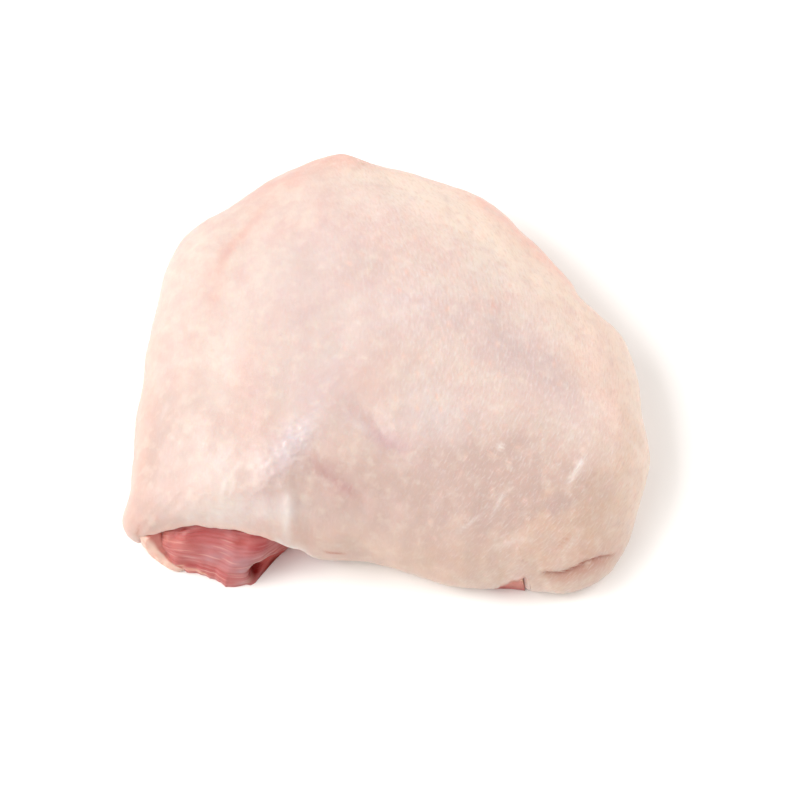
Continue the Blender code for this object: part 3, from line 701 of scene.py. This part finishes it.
PITS = {
    "Spacing": 2.8 * MM,
    "Density": 100000.0,
    "Half length": 0.85 * MM,
    "Half width": 0.42 * MM,
    "Depth": 0.1 * MM,
    "Lip": 0.08 * MM,
    "Seed": 7,
}
WEAKEST_PIT = 0.25
tree, sizes = new_tree("feather pits", PITS)
share = add_node(tree, "GeometryNodeInputNamedAttribute", {"Name": "pitted"}, data_type="FLOAT")[0]
inputs = {
    "Mesh": sizes["Geometry"],
    "Distance Min": sizes["Spacing"],
    "Density Max": sizes["Density"],
    "Density Factor": share,
    "Seed": sizes["Seed"],
}
scattered = add_node(tree, "GeometryNodeDistributePointsOnFaces", inputs, distribute_method="POISSON")[0]
place = add_node(tree, "GeometryNodeInputPosition")[0]
nearest = add_node(tree, "GeometryNodeSampleNearest", {"Geometry": scattered, "Sample Position": place})[0]
inputs = {"Geometry": scattered, "Value": place, "Index": nearest}
centre = add_node(tree, "GeometryNodeSampleIndex", inputs, data_type="FLOAT_VECTOR")[0]
inputs = {"Min": WEAKEST_PIT, "Max": 1.0, "Seed": sizes["Seed"]}
drawn = add_node(tree, "FunctionNodeRandomValue", inputs, data_type="FLOAT")
drawn = next(socket for socket in drawn if socket.enabled)
inputs = {"Geometry": scattered, "Value": drawn, "Index": nearest}
strength = add_node(tree, "GeometryNodeSampleIndex", inputs, data_type="FLOAT")[0]
lie = add_node(tree, "GeometryNodeInputNamedAttribute", {"Name": "lie"}, data_type="FLOAT_VECTOR")[0]
away = add_node(tree, "VectorMath", {0: place, 1: centre}, operation="SUBTRACT")[0]
along = add_node(tree, "VectorMath", {0: away, 1: lie}, operation="DOT_PRODUCT")["Value"]
far = add_node(tree, "VectorMath", {0: away, 1: away}, operation="DOT_PRODUCT")["Value"]

# A pit and the lip before it, worked out from the nearest pit's centre: the result, the sum, what goes in.
LIP_AHEAD = 1.3  # half lengths from the pit to the lip
WHOLE, GONE = 0.3, 0.5  # the spacings from the centre at which a pit starts to fade and is gone
SUMS = (
    ("along squared", "MULTIPLY", "along", "along"), ("across", "SUBTRACT", "far", "along squared"),
    ("width", "MULTIPLY", "Half width", "Half width"), ("across", "DIVIDE", "across", "width"),
    ("along", "DIVIDE", "along", "Half length"), ("dip", "MULTIPLY_ADD", "along", "along", "across"),
    ("dip", "MULTIPLY", "dip", -1.0), ("dip", "EXPONENT", "dip"),
    ("lip", "SUBTRACT", "along", LIP_AHEAD), ("lip", "MULTIPLY_ADD", "lip", "lip", "across"),
    ("lip", "MULTIPLY", "lip", -1.0), ("lip", "EXPONENT", "lip"),
    ("near", "SQRT", "far"), ("near", "DIVIDE", "near", "Spacing"), ("near", "RANGE", "near", GONE, WHOLE),
    ("strength", "MULTIPLY", "strength", "near"), ("dip", "MULTIPLY", "dip", "strength"),
    ("lip", "MULTIPLY", "lip", "strength"), ("lip", "MULTIPLY", "lip", "Lip"),
    ("height", "MULTIPLY", "dip", "Depth"), ("height", "SUBTRACT", "lip", "height"),
    ("pitted", "GREATER_THAN", "share", 0.01), ("height", "MULTIPLY", "height", "pitted"),
)
known = {name: sizes[name] for name in PITS}
known |= {"along": along, "far": far, "strength": strength, "share": share}
for result, operation, *parts in SUMS:
    inputs = {n: known.get(part, part) for n, part in enumerate(parts)}
    if operation == "RANGE":
        known[result] = add_node(tree, "MapRange", inputs)[0]
    else:
        known[result] = add_node(tree, "Math", inputs, operation=operation)[0]
normal = add_node(tree, "GeometryNodeInputNormal")[0]
inputs = {0: normal, "Scale": known["height"]}
offset = add_node(tree, "VectorMath", inputs, operation="SCALE")[0]
dented = add_node(tree, "GeometryNodeSetPosition", {"Geometry": sizes["Geometry"], "Offset": offset})[0]
inputs = {"Geometry": dented, "Name": "pit", "Value": known["dip"]}
dented = add_node(tree, "GeometryNodeStoreNamedAttribute", inputs, data_type="FLOAT", domain="POINT")[0]
dented = add_node(tree, "GeometryNodeRealizeInstances", {"Geometry": dented})[0]
dented = add_node(tree, "GeometryNodeSetMaterial", {"Geometry": dented, "Material": skin_look})[0]
add_node(tree, "NodeGroupOutput", {"Geometry": dented})
run_tree(skin, tree, PITS)
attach(skin, "root")
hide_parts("skin")

# The muscle.
# The thigh's own meat, cut across at the front left with a knife. It keeps the form one skin deeper, and the
# bare end is a lens of cut fibres that runs from the hem of the skin down to the table. Its lower right turns
# back under the thigh behind a thin membrane, and there is a small hole between the two.
TOUCH = 0.06  # what is left between the meat and the skin that lies on it
MEAT_LINES, MEAT_TOP_RINGS, FACE_RINGS = 400, 16, 66

# The foot of the bare end on the table, from left to right.
MUSCLE_FOOT = (
    (-53.3, -44.5), (-52.4, -45.5), (-50.7, -46.6), (-49.3, -48), (-47.4, -49), (-44.5, -49.9),
    (-42, -50.3), (-39.3, -51.4), (-38.1, -51.9), (-37.2, -53.2), (-35.9, -53.3), (-32.9, -52.8),
    (-31.1, -52.4), (-29.9, -51.6), (-28.9, -50.4), (-27.8, -48.9), (-26.5, -47.3), (-25.2, -45.9),
    (-23.9, -44.6), (-22.2, -43.3), (-20.2, -42.4), (-18, -41.9), (-15.8, -41.6), (-13.6, -41.4),
)
BARE_EASE = math.radians(2.4)  # the turn over which the foot comes out from under the skin
SETBACK, NOTCH_SETBACK = 9.0, 1.6  # how far in from the widest line it is elsewhere, and at the notch
NOTCH = (30.0, -55.2)
# Corners of the foot are soft this far round, and fade out above it with this power.
FOOT_SOFT, FOOT_RAGGED = math.radians(1.6), 5.0
HEM_CLEAR = 1.3  # how far the meat stays covered past the skin's end
FACE_FULL, FACE_FULLER = 0.55, 0.45  # how full the face of the bare end is, and how much fuller by the fat
FACE_TOP, FACE_LOW = 0.12, 0.4  # the shares of its height over which it leaves the hem and comes to its foot
# How far in from the hem the hidden foot and underside are, and from the bare foot and the fat the underside.
HIDDEN_STEP, HIDDEN_RUN, FOOT_RUN, FAT_MEAT_RUN = 1.0, 3.0, 2.5, 2.5

# The fat's outer edge, from left to right: x, y, and the heights of its underside and top.
FAT_EDGE = (
    (-55.3, -45.6, 6.6, 8.8), (-54.9, -46.1, 5.2, 8.8), (-54, -46.5, 3.6, 7.8), (-52.7, -47.2, 2, 5.6),
    (-50.9, -48.4, 0.8, 3.4), (-49.2, -49.5, 0.2, 2.2), (-47.7, -50.2, 0, 1.6),
)
FAT_THICK, FAT_RUN = 1.2, 8.0  # how thick it is and how far it runs in under the meat
IN_FAT, FAT_GAP = 0.6, 0.7  # the share of its thickness at which the meat stands in it, and the gap behind it


def polar(points):
    """The turn, from 0 to a full turn, and the distance from the middle of each place."""
    points = np.asarray(points, float)
    return np.arctan2(points[:, 1], points[:, 0]) % math.tau, np.hypot(points[:, 0], points[:, 1])


def foot_radius(form):
    """How far out the muscle's foot stands in each section, and in which sections it is bare."""
    angle = form.angle % math.tau
    turns, far = polar(MUSCLE_FOOT)
    bare = (angle >= turns[0]) & (angle <= turns[-1])
    inside = form.radius - SETBACK
    left = smoothstep(angle, turns[0] - BARE_EASE, turns[0]) * (angle < turns[0])
    inside = inside * (1 - left) + far[0] * left
    notch = math.atan2(NOTCH[1], NOTCH[0]) % math.tau
    gap = (np.abs(angle - notch) < 0.1) * (1 - smoothstep(form.end, 0.25, 0.4))
    inside = inside + (SETBACK - NOTCH_SETBACK) * gap
    return np.where(bare, np.interp(angle, turns, far), inside), bare


def fat_lines(form):
    """For each lattice line: whether it crosses the fat, and there the fat's outer edge, the heights of the
    edge's underside and top, its hidden inner edge and its thickness."""
    angle = form.angle % math.tau
    turns, far = polar([row[:2] for row in FAT_EDGE])
    on = (angle >= turns[0]) & (angle <= turns[-1])
    edge, lift, top = (np.interp(angle, turns, values) for values in (far, *list(zip(*FAT_EDGE))[2:]))
    along = (angle - turns[0]) / (turns[-1] - turns[0])
    taper = np.sqrt(np.clip(1 - (2 * along - 1) ** 6, 0.0, 1.0))
    return on, edge, lift, top, edge - FAT_RUN, FAT_THICK * (0.5 + 0.5 * taper)


def bezier(a, b, c, d, t):
    return a * (1 - t) ** 3 + 3 * b * t * (1 - t) ** 2 + 3 * c * t**2 * (1 - t) + d * t**3


def ring_at(form, r, z):
    """A ring of places, one on each section, at these distances and heights."""
    return np.column_stack([r * np.cos(form.angle), r * np.sin(form.angle), z * np.ones(len(form.angle))])


BARE_SPAN = (218.5, 249.0)  # the directions of the bare end, in degrees


def meat_closeness(at, way):
    """Lattice lines stand closest across the bare end, and closer at the slip of muscle than elsewhere."""
    return 0.45 + 5.0 * span(way, *BARE_SPAN) + 3.0 * span(way, *SLIP_SPAN)


FIBRE, BUNDLE_LONG, FIBRE_SLOPE, FACE_HEIGHT = 0.45, 12.0, 0.05, 13.0


def along_fibres(x, passed):
    """Places on the bare end, measured in bundles of fibres: along them, and across from the hem down."""
    return np.stack([x / BUNDLE_LONG, passed * FACE_HEIGHT / FIBRE + FIBRE_SLOPE * x], axis=-1)


meat_form = Form(lattice_stations(MEAT_LINES, meat_closeness))
end = meat_form.skin_end()
deep = SKIN + TOUCH
shares = np.arange(1, MEAT_TOP_RINGS + 1) / MEAT_TOP_RINGS
runs = np.concatenate([ring_runs(meat_form, shares, end), [end + HEM_CLEAR]])
covered = meat_form.inside(runs, np.full(runs.shape, deep))
from_r, from_z = np.hypot(covered[-1][:, 0], covered[-1][:, 1]), covered[-1][:, 2]
foot_r, bare = foot_radius(meat_form)
on_fat, _, _, _, fat_inner, thick = fat_lines(meat_form)
tucked = (meat_form.end > 1.0) & ~bare
landing = np.where(tucked, from_r - HIDDEN_RUN, foot_r - FOOT_RUN)
foot_r = np.where(tucked, from_r - HIDDEN_STEP, foot_r)
foot_z = np.where(tucked, from_z, np.where(on_fat, IN_FAT * thick, 0.0))
steps = np.linspace(0, 1, FACE_RINGS + 1)[1:]
soft_r = np.where(bare, softened(meat_form.angle, foot_r, FOOT_SOFT), foot_r)
foot_z = np.where(bare, softened(meat_form.angle, foot_z, FOOT_SOFT), foot_z)
full = FACE_FULL + FACE_FULLER * softened(meat_form.angle, on_fat.astype(float), FOOT_SOFT)
high = from_z - foot_z
face = []
for t in steps:
    r = bezier(from_r, from_r + full * (soft_r - from_r), soft_r, soft_r, t)
    z = bezier(from_z, from_z - FACE_TOP * high, foot_z + FACE_LOW * high, foot_z, t)
    face.append(ring_at(meat_form, r + (foot_r - soft_r) * t**FOOT_RAGGED, z))
face = np.stack(face)

# The edge of the membrane on the bare end, from left to right: x and its height.
MEMBRANE = (
    (-31.6, 6), (-30, 6.7), (-28.4, 6.5), (-27, 5.8), (-25.6, 4.9), (-24.2, 3.4), (-22.6, 1.6), (-20.5, 0.8),
)
MEMBRANE_WIDE, MEMBRANE_HIGH, RETURN_DEPTH = 0.32, 0.25, 0.5
HOLE, HOLE_WIDE, HOLE_HIGH, HOLE_DEPTH = (-30.2, 3.6), 2.6, 4.6, 1.6
FIBRE_HIGH, LUMPS, FOOT_WAVE = 0.03, (0.12, 4.5, 13), (0.16, 3.0, 14)  # height, and size and seed of ripples
STRANDS = (1.6, 11)  # size and seed, of the relief and of its colour
TABLE_CLEAR = 0.02  # how far over the table its lowest places are kept


def bare_face(places):
    """How much each place belongs to the face that returns under the thigh, to the edge of the membrane, to
    the hole and to the bare end as a whole."""
    x, y, z = np.moveaxis(places, -1, 0)
    front = smoothstep(-y, 40.0, 43.0) * (1 - smoothstep(x, -18.0, -14.0))
    top = np.interp(x, *zip(*MEMBRANE))
    toe = smoothstep(-x, 28.2, 30.2) * (1 - smoothstep(z, 1.0, 2.6))
    under = smoothstep(x, -31.0, -29.8) * (1 - smoothstep(z, top - 0.35, top + 0.1)) * (1 - toe)
    rim = smoothstep(x, -32.2, -31.2) * bell(z - top, MEMBRANE_WIDE)
    hole = bell(x - HOLE[0], 0.5 * HOLE_WIDE) * bell(z - HOLE[1], 0.5 * HOLE_HIGH)
    return front * under, front * rim, front * hole, front


passed = np.broadcast_to(steps[:, None], face.shape[:2])
under, rim, hole, front = bare_face(face)
strand = along_fibres(face[..., 0], passed)
fibres = ripples(strand, *STRANDS) + 0.6 * ripples(strand * (1.0, 2.0), 1.5, 12)
settle = smoothstep(passed, 0.0, 0.06) * (1 - 0.4 * smoothstep(passed, 0.9, 1.0))
relief = front * settle * (FIBRE_HIGH * fibres + layered(face, LUMPS)) + MEMBRANE_HIGH * rim
relief -= RETURN_DEPTH * under + HOLE_DEPTH * hole
face = face + facing(face) * relief[..., None]
foot_wave = layered(face[-1], FOOT_WAVE) * front[-1]
face += (smoothstep(passed, 0.5, 1.0) * foot_wave)[..., None] * ring_at(meat_form, 1.0, 0.0)
face[..., 2] = np.maximum(face[..., 2], TABLE_CLEAR)
over_r = np.where(on_fat, fat_inner - FAT_GAP, 0.5 * (landing + foot_r))
landing = np.where(on_fat, fat_inner - FAT_MEAT_RUN, landing)
under_rings = [
    ring_at(meat_form, over_r, np.where(on_fat, IN_FAT * thick, 0.9 * foot_z)),
    ring_at(meat_form, landing, 0.0),
    ring_at(meat_form, 0.5 * landing, 0.0),
]
rings = [*covered, *face, *under_rings]
top = np.array([0.0, 0.0, crown[2] - deep])

# Where the cut meat's colour changes: x, height, length, width, direction in degrees, strength.
MEAT_TINTS = {
    # blood held between the bundles, a deep red, and painted shade under the hem at the top of the slip
    "deep": (
        (-28.3, 10.7, 5, 2.2, -10, 1), (-44, 11.5, 9, 2, 5, 0.6), (-43, 3.4, 9, 1.4, 4, 0.6),
        (-52, 5.5, 3, 5, 70, 0.2), (-36, 3.6, 8, 1.6, 0, 0.4), (29.6, 4.6, 4, 0.9, 12, 0.9),
    ),
    # a cut vein's wall and thicker sinew, a grey mauve
    "grey": (
        (-36, 8.6, 12, 4, 0, 0.45), (-32, 6.4, 6, 3.4, 10, 0.5), (-42, 6.6, 8, 2, 0, 0.2),
        (-33.5, 1.4, 7, 2, 0, 0.4),
    ),
    # shreds of fat at the foot, a yellow cream
    "shred": (
        (-44.6, 1.9, 2.6, 0.8, 0, 0.9), (-42.2, 1.2, 2, 0.7, 0, 0.8), (-47.5, 2.6, 1.8, 0.6, 30, 0.6),
        (-31.5, 1.4, 3, 1, 20, 0.2),
    ),
    # the side by the fat, the upper left under the hem and the notch, a salmon pink, partly painted light
    "rose": (
        (-52.6, 5.5, 10, 4.6, 70, 0.3), (-50, 9.5, 8, 3, 10, 0.4), (-47, 1.6, 8, 1.6, 0, 0.3),
        (28, 2.2, 4.8, 2.2, 0, 0.8),
    ),
    # painted light on the slip of muscle in its recess under the top of the notch, a pale salmon
    "slip_light": ((30.2, 6, 5.2, 4.2, 60, 1.3),),
}


def meat_fields(places, passed):
    """How strong each tint is at each corner. It takes the share of the way from hem to foot there."""
    x, y, z = np.moveaxis(places, -1, 0)
    under, rim, hole, front = bare_face(places)
    slip = smoothstep(x, 20.0, 24.0) * smoothstep(-y, 48.0, 52.0)
    fields = painted(MEAT_TINTS, x, z, places * (0.4, 1.0, 1.0), MEAT_PATCHES, front + slip)
    strand = along_fibres(x, passed)
    streak = ripples(strand, 1.1, 70) + 0.7 * ripples(strand * (1.6, 1.0), 1.3, 71)
    fields["sinew"] = 0.75 * smoothstep(streak, 1.0, 3.0) * front * (1 - under)
    fields["strand"] = 0.5 + 0.25 * np.clip(ripples(strand, *STRANDS), -2, 2)
    fields["under"] = np.clip(under, 0, 1)
    fields["rim"] = np.clip(rim, 0, 1)
    fields["hole"] = np.clip(2.0 * hole, 0, 1)
    return fields


places = np.concatenate([[top], *rings, [[0.0, 0.0, 0.0]]])
on_ring = [0.0] * len(covered) + [*steps] + [1.0] * len(under_rings)
passed = np.concatenate([[0.0], np.repeat(on_ring, MEAT_LINES), [1.0]])
meat = ringed_object("thigh_muscle", top, rings, np.zeros(3), meat_fields(places, passed))

# Raw dark chicken meat, cut across with a knife: moist and a little see-through, so it shines softly. The eye
# sees a rose red with thin pale lines of sinew along the fibres, and near black red where no light gets in.
MEAT_FINISH = {
    "IOR": 1.4,
    "Roughness": 0.36,
    "Subsurface Weight": 0.3,
    "Subsurface Radius": (1.0, 0.25, 0.18),
    "Subsurface Scale": 1.6 * MM,
}
MEAT_RED, MEAT_PINK = "#B05650", "#BC6A68"
MEAT_CLOUD, MEAT_GRAIN = 3.0, 0.5
MEAT_SHADES = {
    "deep": "#AD4545", "grey": "#B28588", "sinew": "#D4A096", "shred": "#DCB093", "under": "#B03C33",
    "rose": "#D88F84", "slip_light": "#F0BFA6", "rim": "#CCA69E", "hole": "#70100E",
}
meat_look, tree, shader = new_material("raw_chicken_meat")
held = add_node(tree, "Attribute", attribute_name="strand")
spot = add_node(tree, "TexCoord")["Object"]
cloud = add_node(tree, "TexNoise", {"Vector": spot, "Scale": 1 / (MEAT_CLOUD * MM), "Detail": 4.0})
shade = add_node(tree, "Math", {0: held["Fac"], 1: cloud["Fac"]}, operation="ADD")
colour = two_toned(tree, shade[0], 0.65, 1.35, MEAT_RED, MEAT_PINK)
colour, normal = tinted(tree, colour, MEAT_SHADES), fine_bump(tree, spot, MEAT_GRAIN, 0.5)
held = add_node(tree, "Attribute", attribute_name="hole")
dull = add_node(tree, "MapRange", {"Value": held["Fac"], "To Min": 0.5, "To Max": 0.05})[0]
feed(tree, shader, {"Base Color": colour, "Normal": normal, "Specular IOR Level": dull, **MEAT_FINISH})
meat.data.materials.append(meat_look)
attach(meat, "root")
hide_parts("muscle")

# The fat.
# A thin pad of pale fat and fascia under the foot of the bare end. Only its outer edge shows, curled up at
# the left as far as the corner of the skin. It is made as one closed sweep along that edge.
FAT_LINES, FAT_SIDES = 110, 30
FAT_HIDDEN = math.radians(1.0)  # its left end goes this far in under the corner of the skin
FAT_ROUND, FAT_RISE = 0.6, 0.9  # how far in from the edge its top is, and how much the curled end rises
FOOT_COVER = 0.4  # how far the pad goes in under the foot
FAT_RIPPLES, FAT_MOVE = (0.12, 3.0, 15), (0.3, -1.0, 0.0)  # and the direction in which they move it
fat_turns, _ = polar([row[:2] for row in FAT_EDGE])


class Spread:
    """Directions evenly spread across the fat, in the form that fat_lines and foot_radius read."""

    angle = np.linspace(fat_turns[0] - FAT_HIDDEN, fat_turns[-1], FAT_LINES)
    radius = np.full(FAT_LINES, 60.0)
    end = np.zeros(FAT_LINES)


on, edge, lift, top, inner_r, thick = fat_lines(Spread)
foot, _ = foot_radius(Spread)
beside_foot = foot - FOOT_COVER
lip = np.maximum(beside_foot + 0.15, edge - FAT_ROUND)
top = top + FAT_RISE * smoothstep(lift, 1.0, 6.0)
column = [int(np.argmin(np.abs(meat_form.angle % math.tau - angle))) for angle in Spread.angle]
face_r, face_z = np.hypot(face[..., 0], face[..., 1])[::-1], face[::-1, :, 2]
against = np.array([np.interp(high, face_z[:, j], face_r[:, j]) for high, j in zip(top + 0.4, column)])
against = np.minimum(softened(Spread.angle, against, FOOT_SOFT), beside_foot)
# The pad's section: in on the table, out along it, round the edge, over the lip, and back down by the meat.
section = (
    (inner_r, TABLE_CLEAR),
    (edge - 0.8 - 0.12 * lift, TABLE_CLEAR),
    (edge - 0.3, 0.5 * lift + 0.1),
    (edge, 0.65 * lift + 0.35 * top),
    (lip, top),
    (0.5 * (lip + against), top + 0.35),
    (against - 0.5, top + 0.6),
    (against - 0.7, thick),
    (inner_r, 0.8 * thick),
)
corners = np.array([[np.broadcast_to(value, (FAT_LINES,)) for value in pair] for pair in section])
at = np.arange(FAT_SIDES) / FAT_SIDES * len(section)
sweep = np.stack([smooth_loop(corners[:, :, j], at) for j in range(FAT_LINES)], axis=1)
middle = sweep.mean(axis=0, keepdims=True)
ends = np.sqrt(np.clip(1 - np.linspace(0, 1, FAT_LINES) ** 8, 0.02, 1))
sweep = middle + (sweep - middle) * (0.35 + 0.65 * ends)[None, :, None]
places = np.stack([ring_at(Spread, r, np.maximum(z, TABLE_CLEAR)) for r, z in np.moveaxis(sweep, -1, 1)])
places += layered(places, FAT_RIPPLES)[..., None] * np.array(FAT_MOVE)
starts = [i * FAT_LINES for i in range(FAT_SIDES)]
faces = []
for near, far in zip(starts, starts[1:] + starts[:1]):
    faces += [(near + j, near + j + 1, far + j + 1, far + j) for j in range(FAT_LINES - 1)]
faces += [tuple(starts), tuple(start + FAT_LINES - 1 for start in reversed(starts))]
inner = np.repeat(smoothstep(at, 3.9, 5.0), FAT_LINES)
fat = add_object("thigh_fat", places.reshape(-1, 3), faces, {"inner": inner})

# Raw chicken fat and fascia: greasy, smooth and a little see-through, so that it looks soft. The eye sees a
# pale pink cream on the edge, stained a deep rose where it meets the meat.
FAT_FINISH = {
    "IOR": 1.44,
    "Roughness": 0.4,
    "Subsurface Weight": 0.4,
    "Subsurface Radius": (1.0, 0.5, 0.35),
    "Subsurface Scale": 1.5 * MM,
}
FAT_CREAM, FAT_ROSE, FAT_INNER = "#E0BDAC", "#DAA897", "#CB7B70"
FAT_CLOUD = 2.5
fat_look, tree, shader = new_material("raw_chicken_fat")
spot = add_node(tree, "TexCoord")["Object"]
cloud = add_node(tree, "TexNoise", {"Vector": spot, "Scale": 1 / (FAT_CLOUD * MM), "Detail": 3.0})
colour = two_toned(tree, cloud["Fac"], 0.4, 0.68, FAT_CREAM, FAT_ROSE)
feed(tree, shader, {"Base Color": tinted(tree, colour, {"inner": FAT_INNER}), **FAT_FINISH})
fat.data.materials.append(fat_look)
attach(fat, "root")
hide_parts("fat")

# The table and the light.
# A plain white table top, a white room round it, and large soft lights at the left, the front left and the
# right.
TABLE_HALF, TABLE_DOWN = 3000.0, -0.05
corners = [(x * TABLE_HALF, y * TABLE_HALF, TABLE_DOWN) for x, y in ((-1, -1), (1, -1), (1, 1), (-1, 1))]
table = add_object("table_top", corners, [(0, 1, 2, 3)], {})
white, tree, shader = new_material("white_laminate")
feed(tree, shader, {"Base Color": linear("#FBF7F3"), "Roughness": 0.6})
table.data.materials.append(white)

ROOM_LIGHT = 0.5
room = bpy.data.worlds.new("white_room")
room.use_nodes = True
glow = {"Color": linear("#FFFFFF"), "Strength": ROOM_LIGHT}
feed(room.node_tree, room.node_tree.nodes["Background"], glow)
bpy.context.scene.world = room

LIGHT_SIDE = 0.55
LIGHTS = (
    # name, where it stands in metres, its watts
    ("left_light", (-0.70, 0.03, 0.71), 7.2),
    ("front_light", (-0.55, -0.45, 0.75), 3.2),
    ("right_light", (0.75, 0.2, 0.70), 4.9),
)
for name, stand, watts in LIGHTS:
    lamp = bpy.data.lights.new(name, "AREA")
    lamp.shape = "SQUARE"
    lamp.size = LIGHT_SIDE
    lamp.energy = watts
    holder = bpy.data.objects.new(name, lamp)
    bpy.context.scene.collection.objects.link(holder)
    holder.location = stand
    holder.rotation_mode = "QUATERNION"
    holder.rotation_quaternion = holder.location.to_track_quat("Z", "Y")

# The camera looks down at the bare end's side, as steeply as the photo was taken.
LENS = 85.0
ELEVATION = math.radians(62.0)
DISTANCE = 440.0
AIM = (2.5, -10.33, 10.0)
eye = (AIM[0], AIM[1] - DISTANCE * math.cos(ELEVATION), AIM[2] + DISTANCE * math.sin(ELEVATION))
camera = bpy.data.objects.new("camera", bpy.data.cameras.new("camera"))
bpy.context.scene.collection.objects.link(camera)
camera.data.lens = LENS
camera.data.sensor_width = 36.0
camera.data.clip_start = 0.01
camera.location = [value * MM for value in eye]
camera.rotation_euler = (math.pi / 2 - ELEVATION, 0, 0)
bpy.context.scene.camera = camera
bpy.context.scene.view_settings.view_transform = "Standard"
